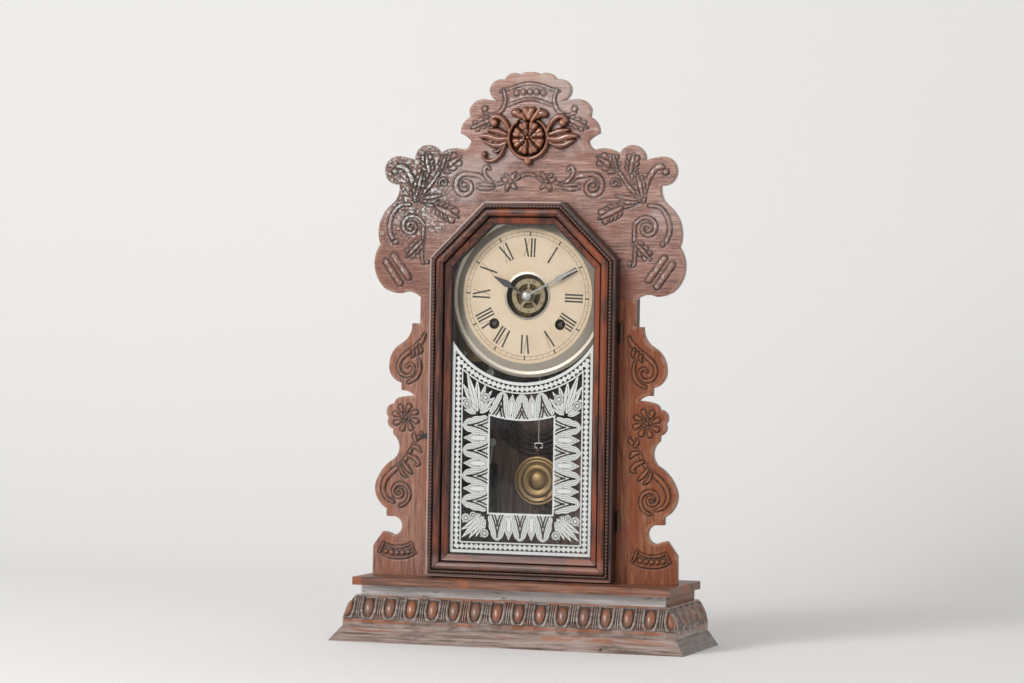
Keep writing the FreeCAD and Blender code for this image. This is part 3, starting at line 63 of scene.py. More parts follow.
def placeCamera(look):
    a, e, r = (math.radians(look[key]) for key in ("azimuth", "elevation", "roll"))
    back = Vector((math.sin(a) * math.cos(e), -math.cos(a) * math.cos(e), math.sin(e)))
    right = Vector((0, 0, 1)).cross(back).normalized()
    up = back.cross(right)
    tiltedRight = math.cos(r) * right + math.sin(r) * up
    tiltedUp = math.cos(r) * up - math.sin(r) * right
    turn = Matrix((tiltedRight, tiltedUp, back)).transposed().to_4x4()
    data = bpy.data.cameras.new("camera")
    data.lens = look["lens"]
    data.sensor_width = 36
    data.clip_end = 60
    camera = bpy.data.objects.new("camera", data)
    camera.matrix_world = Matrix.Translation(Vector(look["place"]) * mm) @ turn
    scene.collection.objects.link(camera)
    scene.camera = camera


placeCamera(cameraSet)
print("camera placed")


# Shader maths: one socket, with the operators that the finishes use


def linear(colour):
    # a colour given in bytes; another wire passes as it is
    if isinstance(colour, Wire):
        return colour
    shares = [c / 255 for c in colour]
    return tuple(s / 12.92 if s < 0.0404 else ((s + 0.055) / 1.055) ** 2.4 for s in shares) + (1.0,)


class Wire:
    def __init__(self, tree, socket=None):
        self.tree = tree
        self.socket = socket

    def join(self, value, slot):
        if isinstance(value, Wire):
            self.tree.links.new(value.socket, slot)
        else:
            slot.default_value = value

    def add(self, kind, settings, sockets, out=0):
        node = self.tree.nodes.new(kind)
        for name, value in settings.items():
            setattr(node, name, value)
        for key, value in sockets.items():
            self.join(value, node.inputs[key])
        return Wire(self.tree, node.outputs[out])

    def maths(self, kind, *values):
        return self.add("ShaderNodeMath", {"operation": kind}, dict(enumerate(values)))

    def __add__(self, other):
        return self.maths("ADD", self, other)

    __radd__ = __add__

    def __sub__(self, other):
        return self.maths("SUBTRACT", self, other)

    def __rsub__(self, other):
        return self.maths("SUBTRACT", other, self)

    def __mul__(self, other):
        return self.maths("MULTIPLY", self, other)

    def __abs__(self):
        return self.maths("ABSOLUTE", self)


def axes(w, names):
    spot = w.add("ShaderNodeTexCoord", {}, {}, "Object")
    parts = w.add("ShaderNodeSeparateXYZ", {}, {"Vector": spot}).socket.node.outputs
    return [Wire(w.tree, parts[name]) * (1 / mm) for name in names]


def place(w, scale):
    spot = w.add("ShaderNodeTexCoord", {}, {}, "Object")
    return w.add("ShaderNodeMapping", {}, {"Vector": spot, "Scale": scale})


def noise(w, scale, detail=3, rough=0.55, twist=0.0):
    scale = scale if isinstance(scale, tuple) else (scale, scale, scale)
    return w.add("ShaderNodeTexNoise", {}, {"Vector": place(w, scale), "Scale": 1.0, "Detail": detail,
                                            "Roughness": rough, "Distortion": twist})


def mark(w, name):
    return w.add("ShaderNodeAttribute", {"attribute_name": name}, {}, "Fac")


def span(value, low, high):
    return value.add("ShaderNodeMapRange", {"interpolation_type": "SMOOTHSTEP"},
                     {"Value": value, "From Min": low, "From Max": high})


def mix(share, first, second, way="MIX"):
    settings = {"data_type": "RGBA", "blend_type": way}
    return share.add("ShaderNodeMix", settings, {0: share, 6: linear(first), 7: linear(second)}, 2)


def ramp(share, *stops):
    wire = share.add("ShaderNodeValToRGB", {}, {"Fac": share})
    elements = wire.socket.node.color_ramp.elements
    while len(elements) < len(stops):
        elements.new(1.0)
    for element, (at, colour) in zip(elements, stops):
        element.position = at
        element.color = linear(colour)
    return wire


def bump(height, strength, distance, **below):
    sockets = {"Height": height, "Strength": strength, "Distance": distance, **below}
    return height.add("ShaderNodeBump", {}, sockets)


def least(first, *others, kind="MINIMUM"):
    for other in others:
        first = first.maths(kind, first, other)
    return first


def most(*values):
    return least(*values, kind="MAXIMUM")


def reachOf(a, b, stretch=1.0):
    square = a * a + b * b * stretch
    return square.maths("SQRT", square)


def blend(share, first, second):
    both = share.add("ShaderNodeMixShader", {}, {0: share, 1: first, 2: second})
    share.tree.links.new(both.socket, share.tree.nodes["Material Output"].inputs["Surface"])


def finish(name, maker, *details, **choices):
    material = bpy.data.materials.new(name)
    material.use_nodes = True
    shader = material.node_tree.nodes["Principled BSDF"]
    w = Wire(material.node_tree, shader.outputs[0])
    for key, value in maker(w, *details, **choices).items():
        w.join(value, shader.inputs[key])
    return material


# Woods

frontWood = {
    "dark": (78, 46, 36),
    "mid": (134, 88, 72),
    "light": (174, 134, 120),
    "red": (132, 64, 40),
    "low": (142, 72, 34),
    "groove": (42, 27, 21),
    # sheen: the pale grey of the painted sheen, the bright room reflected on the crest
    "sheen": (192, 176, 172),
    # white of the painted glints on the raised ribs
    "drops": (226, 216, 212),
    "worn": (182, 138, 112),
    "cloudy": (92, 72, 60),
    # glint: white of the painted glints on the crackled ear
    "glint": (238, 236, 235),
    "ribShare": 0.22,
}
leftWing = dict(frontWood, dark=(98, 58, 44), mid=(138, 88, 68), light=(164, 116, 94))
rightWing = dict(frontWood, dark=(88, 42, 18), mid=(132, 72, 40), light=(156, 102, 68),
                 groove=(50, 30, 18), low=(130, 62, 24), ribShare=0.4)
boardSpots = {
    "foot": (398.0, 362.0),
    "leftEar": (-100.0, -140.0),
    "top": (548.0, 572.0),
    "sheen": (400.0, 440.0),
    "bare": (51.0, 494.0),
    # centre of the crackled ear, where white glints are painted
    "drops": (-122.0, 468.0),
    "front": (-3.0, -6.0),
    "outerWing": (112.0, 150.0),
}


def boardSockets(w, look, grain, redness, crackled=False, shine=1.0):
    def along(slow, fast):
        return (slow, fast, fast) if grain == "x" else (fast, fast, slow)

    spots = boardSpots
    x, y, z = axes(w, "XYZ")
    groove, edge, rib = (mark(w, name) for name in ("groove", "edge", "rib"))
    fibre = noise(w, along(48, 832), 3, 0.6, 0.2)
    figure = noise(w, along(14.4, 240), 3, 0.55, 0.4)
    blotch = noise(w, 24)
    broken = noise(w, 160, 2)
    tone = span(fibre * 0.62 + figure * 0.38, 0.34, 0.66)
    wood = ramp(tone, (0.0, look["dark"]), (0.3, look["mid"]), (1.0, look["light"]))
    pores = span(noise(w, along(18, 420), 2, 0.5), 0.58, 0.68)
    wood = mix(pores * 0.5, wood, look["dark"])
    wood = mix(span(blotch, 0.62 - redness, 0.78 - redness) * 0.6, wood, look["red"])
    if grain == "x":
        foot = span(z + blotch * 30.0 - span(x, *spots["leftEar"]) * 52.0, *spots["foot"])
        wood = mix(foot * 0.55, wood, look["low"], "MULTIPLY")
        wood = mix(foot * 0.3, wood, look["low"])
        wood = mix(span(z, *spots["top"]) * 0.4, wood, look["worn"])
        # painted sheen: pale grey patches on the crest's upper flats stand in for reflected light
        sheen = span(noise(w, 16, 3, 0.6), 0.49, 0.62) * span(z, *spots["sheen"])
        wood = mix(sheen * 0.4, wood, look["sheen"])
    else:
        streak = noise(w, (70, 70, 7)) + span(x, *spots["outerWing"]) * 0.14
        wood = mix(span(streak, 0.54, 0.66) * 0.75, wood, look["low"])
    wood = mix(edge * span(noise(w, 90, 2), 0.35, 0.62) * 0.6, wood, look["worn"])
    # painted highlight: the raised ribs lightened as if they caught the light
    wood = mix(rib * look["ribShare"], wood, look["light"])
    depth = span(groove, 0.12, 0.7) * (0.45 + span(broken, 0.36, 0.62) * 0.55)
    wood = mix(depth, wood, look["groove"])
    if grain == "x":
        # painted highlight: white glints on the raised ribs, as if the glossy varnish caught the light
        drops = rib * span(noise(w, 210, 2, 0.6), 0.55, 0.63)
        wood = mix(drops * 0.5, wood, look["drops"])
        rise = z - spots["bare"][1]
        bare = reachOf(rise, x - spots["bare"][0] + rise * 0.4, 3.0) + broken * 12.0
        wood = mix(span(bare, 17.0, 11.0) * 0.55, wood, look["red"])
    pebble = noise(w, 420, 2, 0.6)
    rough = 0.2 + blotch * 0.26 + tone * 0.05
    normal = bump(tone * 0.7 + broken * 0.4 + pebble * 0.8 - pores * 0.4, 0.8, 0.001)
    if crackled:
        away = reachOf(x - spots["drops"][0], z - spots["drops"][1], 0.45)
        ear = span(away + blotch * 30.0 + noise(w, 70) * 50.0, 100.0, 62.0) * span(y, *spots["front"])
        cells = w.add("ShaderNodeTexVoronoi", {"feature": "DISTANCE_TO_EDGE"},
                      {"Vector": place(w, (1000, 1000, 1000)), "Scale": 0.22})
        crack = span(cells, 0.10, 0.02)
        lumps = noise(w, 320, 3, 0.6)
        glint = span(lumps + rib * 0.10 - groove * 0.25, 0.52, 0.61)
        # crackled ear: clouded varnish and dark cracks, with painted white glints for light caught on the
        # crazed varnish
        wood = mix(ear * 0.4, wood, look["cloudy"])
        wood = mix(ear * crack * 0.7, wood, look["groove"])
        wood = mix(ear * glint * (0.88 - edge * 0.4), wood, look["glint"])
        rough = rough - ear * 0.1
        normal = bump(lumps * ear - crack * ear * 0.5, 1.0, 0.0026, Normal=normal)
    return {"Base Color": wood, "Roughness": rough, "Normal": normal, "Coat Weight": 0.45 * shine,
            "Coat Roughness": 0.216, "Specular IOR Level": 0.6 * shine}


doorWood = {
    "dark": (42, 19, 12),
    "mid": (82, 40, 26),
    "light": (116, 64, 44),
    "red": (134, 62, 28),
    # near black: grime, and painted shade in the quirks, the bead course and the shaded arrises
    "grime": (17, 10, 8),
    # pale: colour of the painted highlights on the door
    "pale": (206, 184, 176),
    "quirks": ((3.4, 0.7), (6.7, 0.8), (15.4, 1.0), (22.8, 0.9)),
}


def doorSockets(w, look):
    half, foot, top = doorEdge["half"], doorEdge["foot"], doorEdge["top"]
    cut = half + doorEdge["shoulder"]
    slant = math.sqrt(0.5)
    sine, cosine = math.sin(math.pi / 8), math.cos(math.pi / 8)
    x, z = axes(w, "XZ")
    side = half - abs(x)
    inward = least(side, z - foot, top - z, (cut - z - abs(x)) * slant)
    quirk = 0.0
    for at, wide in look["quirks"]:
        quirk = span(abs(inward - at), wide + 0.5, wide * 0.3) + quirk
    upright = noise(w, (357, 357, 23.8), 4, 0.6, 0.2)
    across = noise(w, (23.8, 357, 357), 4, 0.6, 0.2)
    flat = span(least(z - foot, top - z) - side, 0.5, -0.5)
    tone = span(mix(flat, upright, across), 0.36, 0.68)
    wood = ramp(tone, (0.0, look["dark"]), (0.5, look["mid"]), (1.0, look["light"]))
    blotch = noise(w, (30, 30, 12))
    worn = span(blotch + span(x, 40.0, 80.0) * 0.12, 0.50, 0.66)
    wood = mix(worn * 0.8, wood, look["red"])
    # painted highlight: the bottom rail lightened where its top bevel catches the light
    wood = mix(span(z, 90.0, 82.0) * 0.16, wood, look["pale"])
    # the quirks darkened: painted shade in the narrow channels, with grime
    wood = mix(least(quirk, 1.0) * 0.85, wood, look["grime"])
    # painted shade: the ground of the bead course between the beads near black
    wood = mix(span(abs(inward - 5.0), 2.4, 1.6) * 0.92, wood, look["grime"])
    # light falls on the upper left arrises, and the right ones lie in shade
    lit = most(-half - x, (z - x - cut) * slant, z - top)
    shaded = most(x - half, (x + z - cut) * slant)
    wood = mix(span(lit, -1.9, -0.7) * 0.65, wood, look["pale"])
    wood = mix(span(shaded, -3.4, -0.6) * 0.88, wood, look["grime"])
    # mitre seams
    shoulder = abs((abs(x) - half) * sine - (z - doorEdge["shoulder"]) * cosine)
    crown = abs((abs(x) - doorEdge["crown"]) * cosine - (z - top) * sine)
    corner = abs((abs(x) - half) + (z - foot)) * slant
    wood = mix(span(least(shoulder, crown, corner), 0.6, 0.25) * 0.8, wood, look["grime"])
    return {"Base Color": wood, "Roughness": 0.26 + blotch * 0.24, "Coat Weight": 0.2, "Coat Roughness": 0.18,
            "Normal": bump(tone, 0.3, 0.0006), "Specular IOR Level": 0.4}


baseWood = {
    "dark": (70, 46, 36),
    "mid": (126, 98, 86),
    "light": (168, 143, 132),
    "orange": (154, 84, 42),
    "grime": (36, 26, 22),
    "nail": (100.0, 3.0),
}
topWood = dict(baseWood, dark=(56, 30, 20), mid=(110, 66, 46), light=(150, 104, 82))
# the frieze front in pale greys: a painted sheen, the bright room reflected on it
friezeWood = dict(baseWood, dark=(164, 155, 151), mid=(190, 185, 184), light=(220, 218, 219),
                  orange=(122, 96, 82))
plinthWood = dict(baseWood, mid=(124, 104, 95), light=(168, 150, 141))
# a darker copy of the plinth wood for its sides: painted shade
plinthSideShaded = dict(baseWood, mid=(94, 80, 74), light=(124, 110, 104))


def baseSockets(w, look, orange, grey, worn=False, grain="x"):
    def along(slow, fast):
        return (slow, fast, fast) if grain == "x" else (fast, slow, fast)

    fibre = noise(w, along(21.6, 378), 4, 0.62, 0.3)
    blotch = noise(w, (28, 28, 44))
    tone = span(fibre * 0.6 + noise(w, along(5, 46)) * 0.4, 0.34 + grey, 0.66 + grey)
    wood = ramp(tone, (0.0, look["dark"]), (0.5, look["mid"]), (1.0, look["light"]))
    wood = mix(span(blotch, 0.62 - orange, 0.74 - orange) * 0.7, wood, look["orange"])
    scuff = span(noise(w, along(60, 300), 2), 0.62, 0.70)
    wood = mix(scuff * 0.5, wood, look["grime"])
    if worn:
        x, y, z = axes(w, "XYZ")
        streak = span(noise(w, (40, 260, 260), 4) + span(abs(x - 95.0), 75.0, 45.0) * 0.12, 0.52, 0.66)
        wood = mix(streak * span(abs(z - 12.0), 4.5, 1.5) * 0.6, wood, look["orange"])
        nail = reachOf(x - look["nail"][0], z - look["nail"][1])
        wood = mix(span(nail, 2.2, 1.2) * span(y, -40.0, -45.0) * 0.9, wood, look["grime"])
    return {"Base Color": wood, "Roughness": 0.42 + blotch * 0.25, "Coat Weight": 0.18, "Coat Roughness": 0.3,
            "Normal": bump(tone, 0.3, 0.0006)}


def caseSockets(w, dark, light):
    fibre = noise(w, (272, 272, 16), 4, 0.6, 0.25)
    blotch = noise(w, 18)
    tone = span(fibre * 0.7 + blotch * 0.3, 0.36, 0.66)
    return {"Base Color": ramp(tone, (0.0, dark), (1.0, light)), "Roughness": 0.62 + blotch * 0.15,
            "Normal": bump(tone, 0.3, 0.0006)}


# Metals, glass, paper and print

# for each metal: bright, dull, roughness, share of spots, metallic, and the nodes that have it
metals = {
    "dialMetal": ((198, 190, 176), (162, 151, 134), 0.4, 0.04, 0.3, "dial_pan"),
    "eyeletMetal": ((160, 154, 144), (96, 88, 76), 0.34, 0.06, 0.85, "dial_eyelet"),
    "alarmBrass": ((140, 126, 98), (86, 74, 54), 0.4, 0.12, 0.5, "alarm_disc"),
    "bobBrass": ((136, 114, 82), (90, 75, 54), 0.42, 0.06, 1.0, "pendulum_bob"),
    "plateBrass": ((92, 76, 48), (58, 48, 34), 0.5, 0.1, 1.0, "front_plate back_plate"),
    "agedBrass": ((190, 156, 96), (110, 86, 48), 0.32, 0.08, 1.0, "suspension_cock"),
    "steel": ((186, 186, 186), (96, 88, 80), 0.32, 0.0, 1.0,
              "hand_nut alarm_winder alarm_hammer strike_hammer pendulum_rod verge pillars centre_arbor"),
    "bluedSteel": ((64, 62, 64), (52, 44, 38), 0.36, 0.02, 1.0, "hour_hand gong_coil mainsprings"),
    "handSteel": ((140, 138, 136), (90, 86, 82), 0.3, 0.02, 1.0, "minute_hand"),
    # the wheels seen through the alarm disc windows are near black: painted shade inside the movement
    "wheelBrass": ((74, 60, 36), (40, 33, 23), 0.45, 0.1, 1.0, "minute_wheel hour_wheel centre_wheel"),
    "winderSteel": ((78, 74, 72), (50, 44, 40), 0.3, 0.04, 1.0, "time_winder strike_winder"),
    "catchIron": ((44, 36, 32), (30, 24, 21), 0.5, 0.06, 0.3, "door_catch"),
    "hingeIron": ((84, 62, 48), (58, 40, 30), 0.5, 0.08, 0.4,
                  "hinge_leaves_door hinge_leaves_case hinge_pins"),
    "darkIron": ((70, 66, 62), (60, 44, 34), 0.55, 0.06, 1.0, "gong_block alarm_frame"),
}


def metalSockets(w, bright, dull, roughness, spots, steely):
    fine = noise(w, 700, 2)
    tarnish = span(noise(w, 90, 4, 0.62) * 0.8 + fine * 0.2, 0.62 - spots, 0.80 - spots)
    return {"Base Color": mix(tarnish, bright, dull), "Metallic": steely - tarnish * 0.35,
            "Roughness": roughness + tarnish * 0.3, "Normal": bump(fine, 0.06, 0.0003)}


paperLook = {
    "pale": (218, 200, 176),
    "aged": (208, 184, 154),
    "rim": (214, 188, 154),
    "centre": (214, 186, 152),
    "specks": (140, 112, 82),
}


def paperSockets(w, look):
    x, z = axes(w, "XZ")
    away = reachOf(x, z - dialCentre[1])
    cloud = noise(w, 40, 4, 0.6)
    specks = noise(w, 520, 2)
    paper = mix(span(cloud, 0.40, 0.66) * 0.6, look["pale"], look["aged"])
    paper = mix(span(away, 52.0, 69.0) * (0.25 + cloud * 0.5), paper, look["rim"])
    paper = mix(span(away, 36.0, 22.0) * 0.5, paper, look["centre"])
    paper = mix(span(specks, 0.68, 0.74) * 0.35, paper, look["specks"])
    return {"Base Color": paper, "Roughness": 0.62, "Normal": bump(cloud + specks * 0.2, 0.12, 0.0004)}


def inkSockets(w, dark, worn, lined=False):
    wear = span(noise(w, 380), 0.54, 0.70)
    ink = mix(wear * 0.55, dark, worn)
    if lined:
        ink = mix(span(mark(w, "fineLines"), 0.1, 0.9) * 0.8, ink, (104, 108, 106))
    return {"Base Color": ink, "Roughness": 0.5 + wear * 0.2}


def glassSockets(w):
    clear = w.add("ShaderNodeBsdfTransparent", {}, {"Color": (0.985, 0.985, 0.98, 1)})
    facing = w.add("ShaderNodeLayerWeight", {}, {"Blend": 0.5}, "Facing")
    dust = span(noise(w, 60, 4), 0.4, 0.8) * 0.012
    blend(w.maths("POWER", facing, 5.0) * 0.7 + dust + 0.012, clear, w)
    return {"Base Color": (0.92, 0.92, 0.92, 1), "Roughness": 0.03, "Metallic": 1.0,
            "Specular IOR Level": 0.5}


nodePaint = {}


def paint(names, *made, **choices):
    nodePaint.update(dict.fromkeys(names.split(), finish(*made, **choices)))


paint("crest_board crest_rosette", "crestWood", boardSockets, frontWood, "x", 0.08, True)
paint("wing_left", "wingWoodLeft", boardSockets, leftWing, "z", 0.04)
paint("wing_right", "wingWoodRight", boardSockets, rightWing, "z", 0.12, shine=0.55)
paint("door_stile_left door_stile_right door_rail_bottom door_rail_top door_diagonals glass_beads",
      "doorWood", doorSockets, doorWood)
paint("base_top_board", "baseTopWood", baseSockets, topWood, 0.13, 0.0)
paint("base_frieze_front", "friezeWood", baseSockets, friezeWood, 0.0, 0.0)
paint("base_frieze_sides", "friezeSideWood", baseSockets, topWood, 0.06, 0.0, grain="y")
paint("egg_moulding_front egg_moulding_sides plinth_front",
      "plinthWood", baseSockets, plinthWood, 0.0, -0.03, True)
paint("plinth_sides", "plinthSideWood", baseSockets, plinthSideShaded, 0.0, -0.03, grain="y")
paint("base_back_rail case_sides case_top back_board dial_strips", "caseWood", caseSockets,
      (62, 44, 36), (122, 98, 86))
paint("door_glass", "doorGlassClear", glassSockets)
paint("dial_paper", "dialPaper", paperSockets, paperLook)
for metal, (*details, names) in metals.items():
    paint(names, metal, metalSockets, *details)
inkPaint = finish("dialInk", inkSockets, (38, 34, 30), (120, 104, 84))
for nodeName, node in nodes.items():
    node.data.materials.clear()
    node.data.materials.append(nodePaint.get(nodeName, nodePaint["suspension_cock"]))
print("finishes made:", len(bpy.data.materials))


# Mesh helpers


def choose(*pieces):
    bpy.ops.object.select_all(action="DESELECT")
    for piece in pieces:
        piece.select_set(True)
    bpy.context.view_layer.objects.active = pieces[0]


def rework(piece, *jobs, choice="SELECT"):
    choose(piece)
    bpy.ops.object.mode_set(mode="EDIT")
    bpy.ops.mesh.select_all(action=choice)
    for job, settings in jobs:
        job(**settings)
    bpy.ops.object.mode_set(mode="OBJECT")


def addPiece(name, points, faces, edges=()):
    mesh = bpy.data.meshes.new(name)
    mesh.from_pydata(points, edges, faces)
    mesh.update()
    piece = bpy.data.objects.new(name, mesh)
    scene.collection.objects.link(piece)
    return piece


def flatGrid(name, columns, rows):
    bpy.ops.mesh.primitive_grid_add(x_subdivisions=columns, y_subdivisions=rows, size=1,
                                    rotation=(math.pi / 2, 0, 0))
    sheet = bpy.context.object
    sheet.name = name
    bpy.ops.object.transform_apply(location=False, rotation=True, scale=False)
    return sheet, pointsOf(sheet)


def pointsOf(piece):
    coords = np.empty(len(piece.data.vertices) * 3)
    piece.data.vertices.foreach_get("co", coords)
    return coords.reshape(-1, 3)


def setPoints(piece, coords):
    piece.data.vertices.foreach_set("co", (coords * mm).ravel())
    piece.data.update()


def keepMark(piece, label, values):
    piece.data.attributes.new(label, "FLOAT", "POINT").data.foreach_set("value", values)


def coat(piece, material):
    piece.data.materials.clear()
    piece.data.materials.append(material)


def smooth(piece, degrees):
    choose(piece)
    bpy.ops.object.shade_smooth_by_angle(angle=math.radians(degrees))


def closeBack(piece, shift, settle=None):
    # pulls a copy of the whole sheet back, walls and all, and settles where that back lies
    rework(piece, (bpy.ops.mesh.extrude_region_move, {"TRANSFORM_OT_translate": {"value": shift}}))
    if settle:
        for vertex in piece.data.vertices:
            if vertex.select:
                settle(vertex.co)
    rework(piece, (bpy.ops.mesh.normals_make_consistent, {"inside": False}))


# Stage and light

stageSet = {
    "floor": (241, 240, 239),
    "cloud": (232, 231, 229),
    "half": 6.0,
    "wall": 1.15,
    "tall": 5.0,
    "curve": 0.5,
    "world": 0.46,
    "shown": 0.9,
    "key": 36.0,
    "fill": 7.0,
    "sheen": 25.0,
}


def floorSockets(w, look):
    # seen from behind, the wall is clear
    behind = w.add("ShaderNodeNewGeometry", {}, {}, "Backfacing")
    blend(behind, w, w.add("ShaderNodeBsdfTransparent", {}, {}))
    return {"Base Color": mix(noise(w, 2) * 0.12, look["floor"], look["cloud"]), "Roughness": 0.85}


def makeStage(look):
    half, wall = look["half"], look["wall"]
    rows = ((-half, 0), (wall, 0), (wall, look["tall"]))
    points = [(side * half, y, z) for y, z in rows for side in (-1, 1)]
    floor = addPiece("studioFloor", points, [(0, 1, 3, 2), (2, 3, 5, 4)])
    rework(floor, choice="DESELECT")
    bend = (2, 3)
    for vertex in floor.data.vertices:
        vertex.select = vertex.index in bend
    for edge in floor.data.edges:
        edge.select = all(v in bend for v in edge.vertices)
    bpy.ops.object.mode_set(mode="EDIT")
    bpy.ops.mesh.bevel(offset=look["curve"], segments=16)
    bpy.ops.object.mode_set(mode="OBJECT")
    bpy.ops.object.shade_smooth()
    coat(floor, finish("paleFloor", floorSockets, look))


def addLamp(name, spot, aim, size, power, colour=(1, 1, 1)):
    data = bpy.data.lights.new(name, "AREA")
    data.size = size
    data.energy = power
    data.color = colour
    lamp = bpy.data.objects.new(name, data)
    lamp.location = spot
    lamp.rotation_euler = (Vector(aim) - Vector(spot)).to_track_quat("-Z", "Y").to_euler()
    scene.collection.objects.link(lamp)


def lightWorld(look):
    world = bpy.data.worlds.new("studio")
    scene.world = world
    world.use_nodes = True
    w = Wire(world.node_tree)
    rays = w.add("ShaderNodeLightPath", {}, {}).socket.node.outputs
    kinds = ("Is Camera Ray", "Is Glossy Ray", "Is Transmission Ray")
    camera, glossy, passed = (Wire(w.tree, rays[kind]) for kind in kinds)
    shown = most(camera, passed, glossy * 0.75)
    backdrop = w.tree.nodes["Background"]
    w.join((1, 1, 1, 1), backdrop.inputs["Color"])
    w.join(shown * (look["shown"] - look["world"]) + look["world"], backdrop.inputs["Strength"])


makeStage(stageSet)
addLamp("keyLamp", (-1.5, -2.3, 1.75), (0, 0, 0.3), 0.9, stageSet["key"], (1.0, 0.98, 0.95))
addLamp("fillLamp", (2.4, -2.0, 1.2), (0, 0, 0.3), 1.6, stageSet["fill"])
addLamp("sheenLamp", (-1.1, -2.75, 1.3), (0, 0, 0.4), 1.1, stageSet["sheen"])
lightWorld(stageSet)
scene.view_settings.view_transform = "Standard"
print("stage lit")


# Pressed ornament: strokes along smooth lines, each a rib between two dark grooves


def smoothLine(points, steps):
    p = np.array(points, float)
    if len(p) < 3:
        t = np.linspace(0, 1, steps)[:, None]
        return p[0] * (1 - t) + p[-1] * t
    ends = np.vstack([2 * p[0] - p[1], p, 2 * p[-1] - p[-2]])
    t = np.linspace(0, 1, steps, endpoint=False)[:, None]
    runs = []
    for a, b, c, d in zip(ends[:-3], ends[1:-2], ends[2:-1], ends[3:]):
        curve = (2 * a - 5 * b + 4 * c - d) * t ** 2 + (3 * b - a - 3 * c + d) * t ** 3
        runs.append(0.5 * (2 * b + (c - a) * t + curve))
    return np.vstack(runs + [p[-1:]])


def line(points, *halves, rise=1.35, steps=10):
    path = smoothLine(points, steps)
    share = np.linspace(0, 1, len(path))
    return {"path": path, "half": np.interp(share, np.linspace(0, 1, len(halves)), halves), "rise": rise}


def spiral(centre, outer, inner, start, turns, *halves, lead=()):
    angles = np.radians(start + np.linspace(0, 360 * turns, int(abs(turns) * 14) + 2))
    radii = outer * (inner / outer) ** np.linspace(0, 1, len(angles))
    curl = np.stack([centre[0] + radii * np.cos(angles), centre[1] + radii * np.sin(angles)], 1)
    return line(list(lead) + [tuple(p) for p in curl], *halves, steps=4)


def ball(x, z, radius, rise=1.7):
    return line([(x, z), (x, z + 0.01)], radius, radius, rise=rise, steps=2)


def leafOf(base, tip, width, lobes, rise=1.3):
    base, tip = np.array(base, float), np.array(tip, float)
    along = tip - base
    size = np.hypot(*along)
    out = np.array([-along[1], along[0]]) / size
    rib = smoothLine([base, (base + tip) / 2, tip], 8)
    strokes = []
    for k in range(lobes):
        share = 0.08 + 0.56 * k / max(lobes - 1, 1)
        root = rib[int(share * (len(rib) - 1))]
        reach = width * (1.15 - 0.45 * abs(share - 0.35))
        for side in (-1, 1):
            end = root + along / size * reach * 0.75 + side * out * reach * 0.8
            lobe = [root, (root + end) / 2 + side * out * 0.6, end]
            strokes.append(line(lobe, 0.8, width * 0.4, width * 0.36, 0.5, rise=rise, steps=6))
    strokes.append(line([tuple(p) for p in rib], width * 0.22, width * 0.34, 0.6, rise=rise * 1.15, steps=3))
    return strokes


def spokes(count, start=0.0):
    for k in range(count):
        angle = math.radians(start + 360 * k / count)
        axis = np.array([math.cos(angle), math.sin(angle)])
        yield axis, np.array([-axis[1], axis[0]])


def flip(strokes):
    return [dict(stroke, path=stroke["path"] * (-1, 1)) for stroke in strokes]


def fade(value, low, high):
    t = np.clip((value - low) / (high - low), 0, 1)
    return t * t * (3 - 2 * t)


pressSet = {
    "depth": 1.05,
    "grooveAt": 0.5,
    "hollow": 0.3,
    "blend": (2.1, 1.0),
    "far": 9.0,
    "sunk": 0.3,
    "rounding": 1.3,
    "rimFade": (0.3, 1.5),
    "edgeFade": (4.5, 0.4),
}


def dome(relative):
    return np.sqrt(np.clip(1 - relative ** 2, 0, 1))


def nearest(spots, stroke, extra):
    path, half = stroke["path"], stroke["half"]
    reach = half.max() + extra
    chosen = np.where(((spots > path.min(0) - reach) & (spots < path.max(0) + reach)).all(1))[0]
    spots = spots[chosen]
    margin, relative = np.full((2, len(spots)), pressSet["far"])
    for a, b, ha, hb in zip(path[:-1], path[1:], half[:-1], half[1:]):
        run = b - a
        t = np.clip(((spots - a) @ run) / max(run @ run, 1e-9), 0, 1)
        distance = np.hypot(*(spots - a - t[:, None] * run).T)
        wide = ha + (hb - ha) * t
        closer = distance - wide < margin
        margin[closer] = (distance - wide)[closer]
        relative[closer] = (distance / wide)[closer]
    return chosen, margin, relative


def press(spots, strokes, grooveWide, look):
    height, groove, rib = np.zeros((3, len(spots)))
    for stroke in strokes:
        chosen, margin, relative = nearest(spots, stroke, 3)
        swell = dome(relative)
        ditch = np.exp(-((margin - look["grooveAt"]) / grooveWide) ** 2)
        if stroke["rise"] < 0:
            ditch = look["hollow"] * np.sqrt(swell)
        share = fade(margin, *look["blend"])
        height[chosen] += share * (stroke["rise"] * swell - look["depth"] * ditch - height[chosen])
        groove[chosen] += share * (ditch - groove[chosen])
        rib[chosen] += share * (swell - rib[chosen])
    return height, groove, rib


def rimDistance(board, coords, isFront):
    ends = np.empty(len(board.data.edges) * 2, int)
    board.data.edges.foreach_get("vertices", ends)
    ends = ends.reshape(-1, 2)
    mixed = isFront[ends[:, 0]] != isFront[ends[:, 1]]
    corner = np.zeros(len(coords), bool)
    corner[ends[mixed].ravel()] = True
    spots, rim = coords[isFront][:, [0, 2]], coords[corner & isFront][:, [0, 2]]
    gaps = []
    for block in np.array_split(spots, len(spots) // 4000 + 1):
        gap = np.full(len(block), pressSet["far"])
        for part in np.array_split(rim, max(len(rim) // 400, 1)):
            gap = np.minimum(gap, np.hypot(*(block[:, None] - part[None]).transpose(2, 0, 1)).min(1))
        gaps.append(gap)
    return np.concatenate(gaps)


